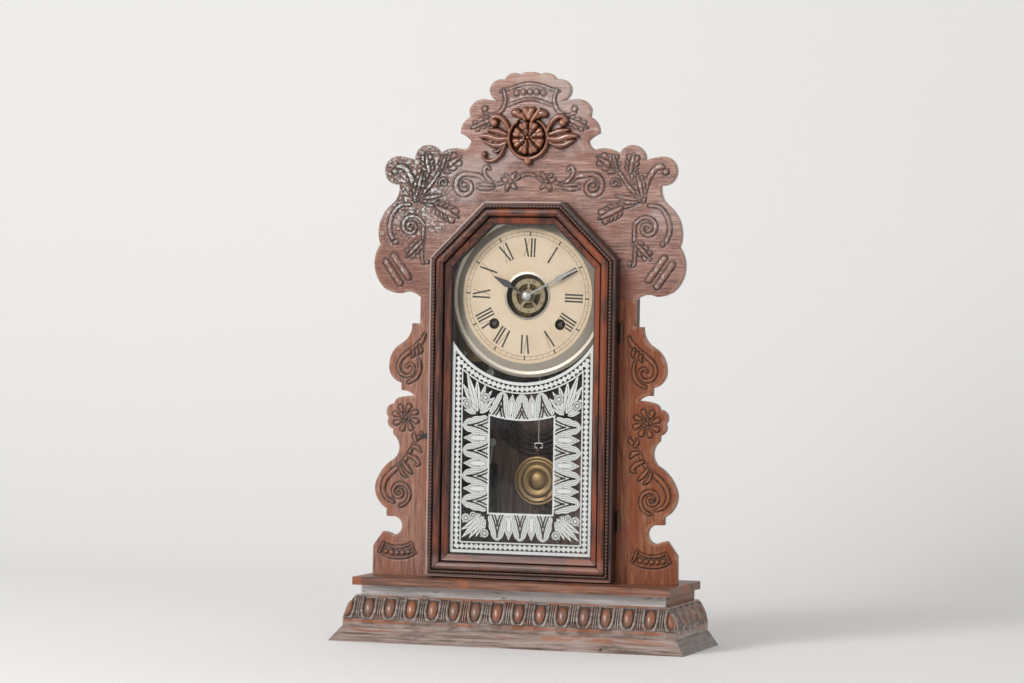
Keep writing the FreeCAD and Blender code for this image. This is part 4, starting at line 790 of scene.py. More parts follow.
def denseBoard(name, node, look, strokes, grooveWide):
    low, high = (np.array(c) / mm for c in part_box(node))
    size, middle = high - low + 2, (low + high) / 2
    cutter = bpy.data.objects.new(name + "Cut", nodes[node].data.copy())
    scene.collection.objects.link(cutter)
    rework(cutter, (bpy.ops.mesh.remove_doubles, {"threshold": 1e-6}))
    board, unit = flatGrid(name, int(size[0] / look["step"]), int(size[2] / look["step"]))
    sunk = low[1] + pressSet["sunk"]
    setPoints(board, unit * (size[0], 0, size[2]) + (middle[0], sunk, middle[2]))
    closeBack(board, (0, (size[1] + 2) * mm, 0))
    cut = board.modifiers.new("cut", "BOOLEAN")
    cut.operation = "INTERSECT"
    cut.solver = "MANIFOLD"
    cut.object = cutter
    bpy.ops.object.modifier_apply(modifier="cut")
    bpy.data.objects.remove(cutter)
    coords = pointsOf(board) / mm
    isFront = np.abs(coords[:, 1] - sunk) < 0.01
    away = rimDistance(board, coords, isFront)
    height, groove, rib = press(coords[isFront][:, [0, 2]], strokes, grooveWide, pressSet)
    rounding = pressSet["rounding"]
    drop = rounding * (1 - dome(np.clip(1 - away / rounding, 0, 1)))
    coords[isFront, 1] = low[1] - height * fade(away, *pressSet["rimFade"]) + drop
    setPoints(board, coords)
    for label, values in (("groove", groove), ("rib", rib), ("edge", fade(away, *pressSet["edgeFade"]))):
        spread = np.zeros(len(coords))
        spread[isFront] = values
        keepMark(board, label, spread)
    coat(board, nodePaint[node])
    smooth(board, 58)
    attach(board, "case")
    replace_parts(board, node)
    print(name, "pressed:", len(board.data.polygons), "faces")


crestPress = {
    "step": 0.76,
    "groove": 0.8,
    "crown": [
        line([(-21, 549), (0, 554.4), (21, 549)], 4.8, 5.6, 4.8, rise=-0.7),
        line([(-30, 554.5), (0, 562.5), (30, 554.5)], 1.1, 1.1, rise=0.8),
        line([(-26, 540), (0, 547), (26, 540)], 1.1, 1.1, rise=0.8),
    ] + [ball(x, 554.4 - 0.006 * x * x, 2.7) for x in (-14, -7, 0, 7, 14)],
    "low": [line([(-10, 468.6), (0, 471.5), (10, 468.6)], 1.5, 1.5)],
}


def crestHalf():
    strokes = [
        line([(28, 556), (25.5, 547), (27, 540), (31, 534), (40, 529.9), (46.5, 533), (47.5, 537)],
             1.4, 1.7, 1.6),
        ball(47.2, 537.3, 2.6),
    ]
    strokes += leafOf((40.5, 526.5), (61, 518), 5.5, 3)
    # low scroll
    strokes += [
        line([(10, 468.6), (16, 465), (20, 464)], 1.3, 1.2),
        spiral((67, 459), 13.5, 3.2, 118, -1.62, 1.5, 2.2, 2.0, 1.5, 1.2,
               lead=[(22, 464.5), (33, 461.5), (43, 464), (52, 469.6)]),
        ball(68, 460.5, 2.3),
        line([(39, 463), (45.5, 469.5), (46.8, 476), (43.5, 479), (41.2, 476)], 1.7, 1.6, 1.1),
        line([(33, 461), (42, 457.5), (54, 457)], 0.8, 2.4, 1.9, 0.4),
        line([(36, 460), (45, 461), (54, 461.5)], 0.6, 1.5, 0.4),
    ]
    for end in ((13.5, 473), (24.5, 472), (13, 457), (23, 454.5), (28, 467)):
        strokes.append(line([(19, 464), ((19 + end[0]) / 2 + 0.8, (464 + end[1]) / 2), end], 1.0, 2.3, 0.5))
    strokes.append(ball(19, 464, 2.0))
    # ear sprays
    strokes += [
        line([(119, 446), (108, 456), (100, 466), (92, 478)], 1.9, 1.5, 1.2),
        line([(119, 447), (110, 463), (106, 477)], 1.6, 1.3, 1.1),
        line([(119, 446), (108, 441.5), (96, 437)], 1.7, 1.4, 1.1),
        line([(120, 445), (121.5, 456), (124.5, 466), (131, 476.5), (138, 479.3), (142.5, 475)],
             1.8, 2.4, 2.4, 1.8),
        ball(142.6, 474.2, 2.9),
        line([(117, 445), (106, 447.5), (92, 450)], 0.9, 2.2, 0.5),
        line([(114, 444), (103, 443.5), (96, 445)], 0.8, 1.7, 0.5),
        spiral((90, 463), 5.2, 1.6, -30, 1.1, 1.0, 1.0, 0.9),
    ]
    leaves = (
        ((93, 476), (72, 489), 7.5, 3), ((92, 478), (88, 490), 5.0, 2), ((106, 474), (109.5, 492), 6.5, 3),
        ((119, 450), (113, 473), 5.5, 3), ((97, 438), (74, 427), 8.0, 4),
    )
    for leaf in leaves:
        strokes += leafOf(*leaf)
    # big ear spiral and its outer arc
    strokes += [
        line([(126, 440.5), (137, 439), (145, 429), (147.6, 416), (143.5, 404.5), (140.5, 402.5)],
             1.3, 1.8, 1.9, 1.6),
        ball(140.6, 402.4, 2.3),
        spiral((124.5, 418), 13.4, 2.6, 178, -1.75, 1.3, 1.7, 1.5, 1.2,
               lead=[(107, 382), (110, 381), (112, 385), (111.6, 400)]),
        ball(106.6, 382.6, 2.0),
    ]
    strokes += leafOf((113, 403), (128.5, 387), 6.0, 3)
    strokes += [
        line([(126.5, 366.5), (142.5, 388.5)], 2.9, 2.9, rise=1.8, steps=6),
        line([(135.5, 360.5), (151, 382.5)], 2.9, 2.9, rise=1.8, steps=6),
    ]
    return strokes


wingPress = {"step": 0.6, "rightGroove": 0.75, "leftGroove": 1.0, "hub": (127.0, 224.0)}


def wingHalf(look):
    # upper scroll: a leaf that thins into a curl
    strokes = [
        line([(107.6, 309), (110.2, 303), (116, 297), (125, 290.5), (132.5, 284), (135.6, 276),
              (132.6, 268.6), (125, 266.4), (119.4, 270.6), (119.8, 276.6), (123.8, 278.4), (126.6, 275.6)],
             1.2, 2.6, 2.0, 1.7, 1.6, 1.4, 1.2, 1.0),
        line([(114, 284.5), (112.6, 275), (116, 265.5), (124.6, 259.8)], 1.0, 1.8, 1.9, 1.4),
        line([(113.5, 297.5), (111.6, 293), (112.4, 289.6)], 0.9, 1.7, 0.6),
        line([(117, 294.4), (115.4, 290.4), (116.4, 287)], 0.9, 1.6, 0.6),
        line([(121, 291.6), (119.6, 288.4), (121.2, 285.4)], 0.8, 1.4, 0.6),
    ]
    hub = np.array(look["hub"])
    for axis, across in spokes(8, 10):
        drop = [hub + axis * 4.6, hub + axis * 8.6 + across * 0.5, hub + axis * 11.8 + across * 1.5]
        strokes.append(line(drop, 0.7, 1.6, 2.5, rise=1.3, steps=5))
    strokes.append(ball(*hub, 2.2, 1.6))
    strokes += [ball(*(hub + axis * 4.1), 1.4, 1.2) for axis, across in spokes(5)]
    # long scroll and its leaf points
    strokes += [
        line([(113, 204.5), (118.6, 195.5), (124, 186), (130, 177), (140, 169.4), (147.6, 161), (150.4, 151),
              (146.6, 142), (139, 138)], 1.0, 1.5, 1.9, 2.4, 2.2, 1.8, 1.3),
        spiral((133, 148), 14.2, 2.2, -96, -1.7, 1.3, 1.7, 1.5, 1.2, 1.0),
        line([(113.6, 203), (110.6, 205.6), (109.6, 209)], 1.6, 1.9, 0.7),
        line([(115, 201), (117.6, 204.4), (117.4, 208)], 1.2, 1.7, 0.7),
        line([(119, 195), (113.6, 193.4), (110.6, 189.4)], 1.2, 2.0, 0.7),
        line([(124, 186), (116.6, 182.6), (112.4, 177.6), (115.4, 175.4)], 1.3, 2.1, 1.6, 1.0),
        line([(129, 178.6), (124.4, 172.4), (119.6, 167.6)], 1.2, 2.2, 0.8),
        line([(132.6, 174.4), (130, 168), (125.4, 164)], 1.1, 1.8, 0.7),
    ]
    # foot crown
    strokes += [
        line([(119, 96.4), (126, 93), (134, 91.8), (142, 92.6), (149, 95.4)], 1.1, 1.1, 1.1),
        line([(114.8, 86.4), (124, 82.6), (134, 81.6), (144, 82.6), (153, 86.4)], 1.2, 1.2, 1.2),
        line([(119, 96.4), (117.6, 91), (114.8, 86.4)], 1.1, 1.0),
        line([(149, 95.4), (150.6, 91), (153, 86.4)], 1.1, 1.0),
    ]
    strokes += [ball(122.4 + 5.9 * k, 87.4 - 0.28 * k * (4 - k), 2.4, 1.5) for k in range(5)]
    return strokes


crestStrokes, wingStrokes = crestHalf(), wingHalf(wingPress)
denseBoard("crestPressed", "crest_board", crestPress,
           crestPress["crown"] + crestPress["low"] + crestStrokes + flip(crestStrokes), crestPress["groove"])
denseBoard("wingRightPressed", "wing_right", wingPress, wingStrokes, wingPress["rightGroove"])
denseBoard("wingLeftPressed", "wing_left", wingPress, flip(wingStrokes), wingPress["leftGroove"])


# Applied rosette: rounded strokes raised on a dense sheet, closed at its back

rosetteSet = {
    "hub": (0.0, 508.0),
    "step": 0.45,
    "room": (-56.0, 56.0, 474.0, 544.0),
    "front": -7.0,
    "back": -6.2,
    "petals": 8,
    "petalRise": 6.4,
    "empty": -1.0,
    "ribTop": 7.5,
}


def rosetteStrokes(look):
    hub = np.array(look["hub"])
    strokes = [ball(*hub, 18.0, 3.2)]
    for axis, across in spokes(look["petals"], 180 / look["petals"]):
        strokes.append(line([hub + axis * 5.4, hub + axis * 10.8], 2.4, 4.4, rise=look["petalRise"] * 0.85))
        for side in (-1, 1):
            lobe = [hub + axis * 11.0 + across * side * 1.4, hub + axis * 14.0 + across * side * 2.1]
            strokes.append(line(lobe, 3.0, 3.8, rise=look["petalRise"] * 1.1))
    strokes.append(ball(*hub, 2.1, 8.6))
    strokes += [ball(*(hub + axis * 4), 1.8, 7.6) for axis, across in spokes(6)]
    # open ring round the flower
    ring = [(20.4 * math.cos(a), 507.4 + 20.4 * math.sin(a)) for a in np.radians(np.linspace(124, 416, 22))]
    strokes.append(line(ring, 1.8, 2.4, 3.0, 2.4, 1.8, rise=6.6, steps=3))
    strokes.append(ball(0, 484.2, 4.6, 8.6))
    strokes += [
        line([(-8, 529), (-12.5, 533), (-15, 533)], 3.4, 5.2, 4.6, rise=6.5),
        line([(0, 528), (-2.5, 534), (-3.5, 535.5)], 3.2, 5.0, 4.4, rise=7.0),
        line([(1, 528), (2.5, 534), (3.5, 535.5)], 3.2, 5.0, 4.4, rise=7.0),
        line([(9, 529), (14, 532.5), (17, 531.5)], 3.2, 5.0, 4.0, rise=6.2),
        line([(4, 525), (8.5, 531), (12, 536)], 2.2, 3.0, 2.6, rise=8.4),
        line([(-3.5, 526), (-6.5, 531)], 2.0, 2.6, rise=7.4),
    ]
    half = [
        line([(20, 515), (24, 523), (30, 528.6), (36, 529.2), (40, 525)], 2.8, 3.4, 3.4, 2.8, rise=6.5),
        ball(36, 523, 4.9, 7.8),
        line([(22, 507), (32, 506.6), (42, 509.6), (51, 509.4)], 3.2, 5.0, 4.6, 2.0, rise=6.6),
        line([(23, 511.5), (32, 514.4), (42, 516)], 2.6, 4.4, 2.0, rise=6.0),
        line([(23, 503), (30, 500.4), (38, 501), (46, 504.6)], 2.4, 4.2, 2.4, rise=5.8),
        line([(36, 505), (42, 504), (49, 505.6)], 1.6, 2.6, 1.0, rise=5.2),
    ]
    strokes += half + flip(half)
    strokes += [
        line([(-24.5, 500), (-29, 491), (-36, 485.4), (-43.5, 485), (-48, 489)],
             2.4, 2.8, 2.8, 2.4, rise=6.0),
        ball(-46.4, 491.6, 3.5, 6.6),
        line([(-27, 499), (-33, 494), (-38, 494.6)], 1.4, 2.2, 0.9, rise=4.6),
    ]
    return strokes


def rosetteSockets(w):
    # colour follows height: painted shade in the low ground, painted highlights on the raised tops
    cloud = noise(w, 70)
    wood = ramp(mark(w, "rib") * (0.78 + cloud * 0.34), (0.0, (22, 13, 10)), (0.45, (70, 36, 22)),
                (0.8, (126, 70, 44)), (1.0, (176, 118, 88)))
    return {"Base Color": wood, "Roughness": 0.14 + cloud * 0.12, "Coat Weight": 0.9, "Coat Roughness": 0.1,
            "Normal": bump(cloud, 0.12, 0.0006)}


def makeRosette(look):
    x0, x1, z0, z1 = look["room"]
    sheet, unit = flatGrid("rosetteCarved", int((x1 - x0) / look["step"]), int((z1 - z0) / look["step"]))
    spots = np.stack([(x0 + x1) / 2 + unit[:, 0] * (x1 - x0), (z0 + z1) / 2 + unit[:, 2] * (z1 - z0)], 1)
    height = np.full(len(spots), look["empty"])
    for stroke in rosetteStrokes(look):
        chosen, margin, relative = nearest(spots, stroke, 2)
        swell = np.where(relative < 1, stroke["rise"] * dome(relative), look["empty"])
        height[chosen] = np.maximum(height[chosen], swell)
    setPoints(sheet, np.stack([spots[:, 0], look["front"] - height, spots[:, 1]], 1))
    keepMark(sheet, "rib", np.clip(height / look["ribTop"], 0, 1))
    rework(sheet, (bpy.ops.mesh.select_mode, {"type": "FACE"}), choice="DESELECT")
    for face in sheet.data.polygons:
        face.select = all(height[v] < look["empty"] / 2 for v in face.vertices)
    bpy.ops.object.mode_set(mode="EDIT")
    bpy.ops.mesh.delete(type="FACE")
    bpy.ops.mesh.select_mode(type="VERT")
    bpy.ops.object.mode_set(mode="OBJECT")

    def settle(co):
        co.y = look["back"] * mm

    closeBack(sheet, (0, 2 * mm, 0), settle)
    smooth(sheet, 62)
    coat(sheet, finish("rosetteWood", rosetteSockets))
    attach(sheet, "case")
    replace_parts(sheet, "crest_rosette")
    print("rosette carved:", len(sheet.data.polygons), "faces")


makeRosette(rosetteSet)


# Egg and reed moulding round the base

eggSet = {
    "pitch": 22.6,
    "step": 0.42,
    "half": 159.0,
    "front": -42.0,
    "back": 68.0,
    "bandOut": 14.5,
    "topOut": 5.0,
    "heights": (14.0, 21.0, 44.0, 45.5),
    "bulge": 1.6,
    "eggHalf": 5.0,
    "eggTall": 9.8,
    "eggRise": 2.9,
    "eggCentre": 13.4,
    "ringRise": 2.0,
    "ringAt": 2.3,
    "ringHalf": 1.6,
    "reedsFrom": 4.1,
    "reedPitch": 2.15,
    "reedHalf": 0.95,
    "reedShift": 1.15,
    "rows": 44,
}


def eggProfile(look):
    z0, z1, z2, z3 = look["heights"]
    foot, top = look["bandOut"], look["topOut"]
    t = np.linspace(0, 1, look["rows"])
    chord = np.stack([foot + (top - foot) * t, z1 + (z2 - z1) * t], 1)
    length = math.hypot(top - foot, z2 - z1)
    out = np.array([z2 - z1, foot - top]) / length
    arc = chord + out[None] * (look["bulge"] * 4 * t * (1 - t))[:, None]
    points = np.vstack([[(foot, z0)], arc, [(top, z3)]])
    along = np.concatenate([[z0 - z1], t * length, [length + z3 - z2]])
    outs = np.vstack([[(1, 0)], np.repeat(out[None], len(t), 0), [(1, 0)]])
    return points, along, outs, length


def eggHeights(run, v, length, look):
    pitch, wide, tall = look["pitch"], look["eggHalf"], look["eggTall"]
    dx = (run / pitch) % 1 * pitch - pitch / 2
    up = v - look["eggCentre"]
    egg = look["eggRise"] * dome(np.hypot(dx / wide, up / tall))
    # the ring is open at its top, where its sides run on nearly straight
    out = (np.hypot(dx / wide, up / np.where(up < 0, tall, 60.0)) - 1) * wide
    ring = look["ringRise"] * dome((out - look["ringAt"]) / look["ringHalf"])
    gap = np.abs(dx) - pitch / 2
    reeds = np.zeros_like(v)
    for k in (-1, 0, 1):
        reeds = np.maximum(reeds, dome((gap + look["reedShift"] - k * look["reedPitch"]) / look["reedHalf"]))
    reeds = np.where(out > look["reedsFrom"], reeds * fade(v, 0.6, 2.2), 0)
    height = np.maximum(np.maximum(egg, ring), reeds)
    inRange = fade(v, 0.2, 1.2) * fade(v, length - 0.1, length - 0.7)
    groove = np.clip(1 - height / 0.75, 0, 1) * inRange * np.where(v < 2.2, fade(v, 0.4, 2.2), 1)
    return (height - 0.5 * groove) * inRange, groove, np.clip(egg / look["eggRise"], 0, 1) * inRange


eggWood = {
    "dark": (104, 86, 76),
    "light": (156, 140, 132),
    "eggs": ((146, 80, 40), (104, 66, 48)),
    "brown": (132, 84, 54),
    "worn": (150, 84, 44),
    "groove": (36, 29, 26),
}


def eggSockets(w, look, scale):
    z, = axes(w, "Z")
    fibre = noise(w, scale)
    cloud = noise(w, 34)
    wood = mix(span(fibre, 0.35, 0.68), look["dark"], look["light"])
    egged = mix(span(cloud, 0.38, 0.6), *look["eggs"])
    wood = mix(span(mark(w, "rib"), 0.0, 0.5) * 0.85, wood, egged)
    wood = mix(span(cloud, 0.52, 0.66) * 0.5, wood, look["brown"])
    worn = most(span(abs(z - 20.0), 2.2, 0.6), span(abs(z - 45.0), 1.4, 0.5))
    wood = mix(worn * span(cloud, 0.36, 0.54) * 0.8, wood, look["worn"])
    wood = mix(mark(w, "groove") * 0.9, wood, look["groove"])
    return {"Base Color": wood, "Roughness": 0.28 + cloud * 0.2, "Coat Weight": 0.35, "Coat Roughness": 0.14,
            "Normal": bump(fibre, 0.2, 0.0005)}


def makeEggs(name, side, look, material):
    points, along, outs, length = eggProfile(look)
    rows = len(points) - 1
    half, front, back = look["half"], look["front"], look["back"]
    longRun = 2 * (half + look["bandOut"]) if side == 0 else back - front + look["bandOut"]
    columns = int(longRun / look["step"])
    sheet, unit = flatGrid(name, columns, rows)
    row = np.rint((unit[:, 2] + 0.5) * rows).astype(int)
    share = unit[:, 0] + 0.5
    out, z = points[row, 0], points[row, 1]
    if side == 0:
        run = (share - 0.5) * 2 * (half + out)
        base = np.stack([run, front - out, z], 1)
        push = np.stack([np.zeros(len(out)), -outs[row, 0], outs[row, 1]], 1)
    else:
        run = (front - out) + share * (back - front + out)
        base = np.stack([side * (half + out), run, z], 1)
        push = np.stack([side * outs[row, 0], np.zeros(len(out)), outs[row, 1]], 1)
        run = run + look["pitch"] * 0.5 - (front - look["bandOut"])
    height, groove, egg = eggHeights(run, along[row], length, look)
    ends = np.minimum(share, 1 - share) if side == 0 else share
    height = height * fade(ends * longRun, 0.4, 3.0)
    setPoints(sheet, base + push * height[:, None])
    keepMark(sheet, "groove", groove)
    keepMark(sheet, "rib", egg)

    def settle(co):
        co.x = max(-half * mm, min(half * mm, co.x)) if side == 0 else side * half * mm
        co.y = front * mm if side == 0 else max(front * mm, co.y)

    closeBack(sheet, (0, 0, 0), settle)
    smooth(sheet, 50)
    coat(sheet, material)
    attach(sheet, "case")
    return sheet


eggPaint = finish("eggWood", eggSockets, eggWood, (48, 256, 256))
eggSidePaint = finish("eggSideWood", eggSockets, eggWood, (256, 48, 256))
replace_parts(makeEggs("eggCourseFront", 0, eggSet, eggPaint), "egg_moulding_front")
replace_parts(makeEggs("eggCourseRight", 1, eggSet, eggSidePaint), "egg_moulding_sides")
makeEggs("eggCourseLeft", -1, eggSet, eggSidePaint)
print("egg courses made")


# Bead course round the door

beadSet = {
    "pitch": 3.55,
    "inset": 5.0,
    "depth": -25.7,
    "along": 1.62,
    "across": 1.5,
    "proud": 1.9,
    "varnish": ((104, 70, 56), (62, 36, 28), 0.22, 0.12, 0.0),
}


def beadPath(look):
    inset = look["inset"]
    right, foot, top = doorEdge["half"] - inset, doorEdge["foot"] + inset, doorEdge["top"] - inset
    cut = doorEdge["half"] + doorEdge["shoulder"] - inset * math.sqrt(2)
    half = [(right, foot), (right, cut - right), (cut - top, top)]
    return half + [(-x, z) for x, z in reversed(half)]


def makeBeads(look):
    bpy.ops.mesh.primitive_uv_sphere_add(segments=8, ring_count=6, radius=1)
    seed = bpy.context.object
    size = (look["along"] * mm, look["proud"] * mm, look["across"] * mm)
    rework(seed, (bpy.ops.transform.resize, {"value": size}))
    bpy.ops.object.shade_smooth()
    beads = []
    corners = beadPath(look)
    for a, b in zip(corners, corners[1:] + corners[:1]):
        run = (b[0] - a[0], b[1] - a[1])
        count = round(math.hypot(*run) / look["pitch"])
        turn = Matrix.Rotation(-math.atan2(run[1], run[0]), 4, "Y")
        for k in range(count):
            share = (k + 0.5) / count
            bead = bpy.data.objects.new("bead", seed.data.copy())
            spot = Vector((a[0] + run[0] * share, look["depth"], a[1] + run[1] * share)) * mm
            bead.data.transform(Matrix.Translation(spot) @ turn)
            scene.collection.objects.link(bead)
            beads.append(bead)
    bpy.data.objects.remove(seed)
    choose(*beads)
    bpy.ops.object.join()
    course = bpy.context.object
    course.name = "doorBeads"
    coat(course, finish("beadVarnish", metalSockets, *look["varnish"]))
    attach(course, "door")
    print("door beads:", len(course.data.polygons), "faces")


makeBeads(beadSet)


# Stencil on the back of the glass: shapes drawn one over another, then cut out as a thin sheet

stencilSet = {
    "depth": -17.72,
    "step": 0.5,
    "half": 74.0,
    "foot": 90.0,
    "head": 306.0,
    "arc": 87.0,
    "windowHalf": 33.5,
    "windowFoot": 131.0,
    "windowArc": 125.3,
    "rim": 1.6,
    "edgeBand": (0.0, 3.1),
    "chainAt": 6.6,
    "chainPitch": 5.1,
    "chainHalf": 3.2,
    "innerBand": (10.0, 11.4),
    "laceEdge": 11.9,
    "archRun": 111.0,
    "footFronds": ((-4, 23), (-80, 22), (-16, 25), (-68, 23), (-30, 29), (-55, 28), (-43, 33)),
    "headFronds": ((158, 17), (8, 15), (140, 24), (24, 18), (124, 27), (42, 24), (106, 30), (88, 34),
                   (60, 34), (73, 43)),
    "footRoot": (38.0, 127.0),
    "headRoot": (46.5, 232.0),
    "rings": ((57.5, 125.0, 4.4), (37.5, 110.0, 4.2), (38.5, 246.5, 4.6), (58.0, 240.0, 4.2),
              (50.0, 128.0, 3.2)),
    "sideRow": {
        "points": (205.7, 180.2, 154.7), "pointSize": (26.4, 5.4),
        "tongueSize": (27.3, 9.8), "lancetHalf": 7.0,
        "tongues": ((218.5, 22.5), (193.0, 22.5), (167.5, 22.5), (142.0, 22.5)),
    },
    "footRow": {
        "points": (-12.0, 12.0), "pointSize": (25.6, 5.2), "tongueSize": (26.5, 9.6), "lancetHalf": 6.0,
        "tongues": ((-24.0, 23.5), (0.0, 23.5), (24.0, 23.5)),
    },
    "archRow": {
        "points": (-11.0, 11.0), "pointSize": (24.6, 5.0), "tongueSize": (25.5, 9.4), "lancetHalf": 5.8,
        "tongues": ((-22.0, 22.5), (0.0, 16.5), (22.0, 22.5)),
    },
}


def draw(field, shape, gaps=(1.7, 3.7, 5.7)):
    # layer 0 is the cut, layer 1 the fine lines that follow the outline inside
    edge, lineHalf = 0.55, 0.42
    lines = sum(np.exp(-((shape - gap) / lineHalf) ** 2) for gap in gaps)
    return np.where(shape > -edge, np.stack([shape, lines]), field)


def tongue(field, u, d, long, half):
    share = np.clip(u / long, 0, 1)
    body = np.clip(1 - share ** 2.4, 0, 1) ** 0.55 * np.clip(share * 5 + 0.62, 0, 1) ** 0.6
    wide = half * body + 0.9 * np.abs(np.sin(share * 9.4)) - 0.5
    shape = np.minimum(wide - np.abs(d), np.minimum(u, long - u))
    return draw(field, shape)


def lancet(field, u, d, long, half):
    for size in (1.0, 0.52):
        wide = half * size * np.clip(1 - u / (long * size), 0, 1) ** 1.7
        cut = np.where((u > 0) & (u < long * size), np.abs(np.abs(d) - wide) - 0.85, 1.0)
        field[0] = np.minimum(field[0], cut)
    return field


def point(field, u, d, long, half):
    shape = half * np.clip((long - u) / (long * 0.42), 0, 1) - np.abs(d)
    return draw(field, np.minimum(shape, u), gaps=(1.3, 2.9))


def frond(field, x, z, root, degrees, long, half):
    c, s = math.cos(math.radians(degrees)), math.sin(math.radians(degrees))
    u = (x - root[0]) * c + (z - root[1]) * s
    d = (z - root[1]) * c - (x - root[0]) * s
    share = np.clip(u / long, 0, 1)
    wide = half * np.sin(math.pi * share ** 0.72)
    shape = np.where((u > 0) & (u < long), wide - np.abs(d), -2.0)
    # a vein is cut out along its middle
    shape = np.where((share > 0.25) & (share < 0.82), np.minimum(shape, np.abs(d) - 0.28), shape)
    return draw(field, shape)


def ringMark(field, x, z, spot, radius):
    away = np.hypot(x - spot[0], z - spot[1])
    field = draw(field, radius - away, gaps=(1.1,))
    field[0] = np.minimum(field[0], np.abs(away - radius * 0.45) - 0.4)
    return field


def band(away, low, high):
    return np.minimum(away - low, high - away)


def stencilField(x, z, look):
    side = np.abs(x)
    away = np.hypot(x, z - dialCentre[1])
    turn = np.arctan2(x, dialCentre[1] - z)
    edges = np.stack([look["half"] - side, z - look["foot"], away - look["arc"]])
    inward = edges.min(0)
    run = np.choose(edges.argmin(0), [z, x, turn * (look["arc"] + look["chainAt"])])
    pitch = look["chainPitch"]
    offset = ((run / pitch + 0.5) % 1 - 0.5) * pitch
    chain = look["chainHalf"] - np.abs(inward - look["chainAt"]) - np.abs(offset)
    border = np.maximum(np.maximum(band(inward, *look["edgeBand"]), chain), band(inward, *look["innerBand"]))
    lace = np.stack([np.full(x.shape, -2.0), np.zeros(x.shape)])
    for degrees, long in look["footFronds"]:
        lace = frond(lace, side, z, look["footRoot"], degrees, long, 3.3)
    for degrees, long in look["headFronds"]:
        lace = frond(lace, side, z, look["headRoot"], degrees, long, 3.4)
    for *spot, radius in look["rings"]:
        lace = ringMark(lace, side, z, spot, radius)
    rim = look["rim"]
    ways = (
        (side - look["windowHalf"] - rim, z, look["sideRow"]),
        (look["windowFoot"] - rim - z, x, look["footRow"]),
        (look["windowArc"] - rim - away, turn * look["archRun"], look["archRow"]),
    )
    for out, across, row in ways:
        for middle in row["points"]:
            lace = point(lace, out, across - middle, *row["pointSize"])
    for out, across, row in ways:
        for middle, long in row["tongues"]:
            lace = tongue(lace, out, across - middle, *row["tongueSize"])
            lace = lancet(lace, out, across - middle, long, row["lancetHalf"])
    lace, lines = np.minimum(lace[0], inward - look["laceEdge"]), lace[1]
    window = [look["windowHalf"] - side, z - look["windowFoot"], away - look["windowArc"]]
    clear = np.min(window, axis=0)
    whole = np.where(clear > -rim, np.minimum(-clear, clear + rim), np.maximum(border, lace))
    return whole, np.where((lace > border) & (clear < -rim), lines, 0.0)


def cutSheet(name, xs, zs, field, depth, shade=None):
    index, points, faces, shades = {}, [], [], []

    def vertex(key, x, z, dark=0.0):
        if key not in index:
            index[key] = len(points)
            points.append((x * mm, depth * mm, z * mm))
            shades.append(dark)
        return index[key]

    inside = field > 0
    count = inside[:-1, :-1].astype(int) + inside[1:, :-1] + inside[:-1, 1:] + inside[1:, 1:]
    for j, i in zip(*np.where(count > 0)):
        ring = ((j, i), (j, i + 1), (j + 1, i + 1), (j + 1, i))
        corners = []
        for a, b in zip(ring, ring[1:] + ring[:1]):
            ax, az, bx, bz = xs[a[1]], zs[a[0]], xs[b[1]], zs[b[0]]
            if inside[a]:
                corners.append(vertex(a, ax, az, 0.0 if shade is None else shade[a]))
            if inside[a] != inside[b]:
                t = field[a] / (field[a] - field[b])
                corners.append(vertex((min(a, b), max(a, b)), ax + (bx - ax) * t, az + (bz - az) * t))
        if len(set(corners)) > 2:
            faces.append(corners)
    piece = addPiece(name, points, faces)
    if shade is not None:
        keepMark(piece, "fineLines", np.array(shades))
    return piece


def makeStencil(look):
    step = look["step"]
    xs = np.arange(-look["half"] - step, look["half"] + 2 * step, step)
    zs = np.arange(look["foot"] - step, look["head"], step)
    field, lines = stencilField(*np.meshgrid(xs, zs), look)
    piece = cutSheet("glassStencil", xs, zs, field, look["depth"], lines)
    coat(piece, finish("stencilWhite", inkSockets, (216, 219, 219), (190, 193, 193), True))
    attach(piece, "door")
    print("stencil cut:", len(piece.data.polygons), "faces")


makeStencil(stencilSet)


# Dial print: numerals, minute circles and dashes, just in front of the paper

dialSet = {
    "turned": 2.07,
    "depth": -5.06,
    "numerals": ("XII", "I", "II", "III", "IIII", "V", "VI", "VII", "VIII", "IX", "X", "XI"),
    "feet": 39.5,
    "tall": 18.5,
    "thick": 1.75,
    "thin": 0.42,
    "pieces": 24,
    "circles": (61.0, 64.5),
    "lineHalf": 0.16,
    "minuteDash": (61.1, 64.4, 0.12),
    "hourDash": (60.4, 64.8, 0.62),
    "holes": ((-34.7, 321.0), (34.7, 321.0)),
    "holeRadius": 5.7,
}


def letterBars(letter, left, tall, thick, thin):
    if letter == "I":
        wide = 3.3
        middle = left + wide / 2
        return wide, [(middle, 0, middle, tall, thick), (left + 0.3, 0.2, left + wide - 0.3, 0.2, thin),
                      (left + 0.3, tall - 0.2, left + wide - 0.3, tall - 0.2, thin)]
    wide = 7.0
    if letter == "V":
        return wide, [(left + 1.2, tall, left + 3.6, 0, thick), (left + 6.2, tall, left + 3.6, 0, thin)]
    return wide, [(left + 1.2, tall, left + 5.8, 0, thick), (left + 5.9, tall, left + 1.1, 0, thin)]


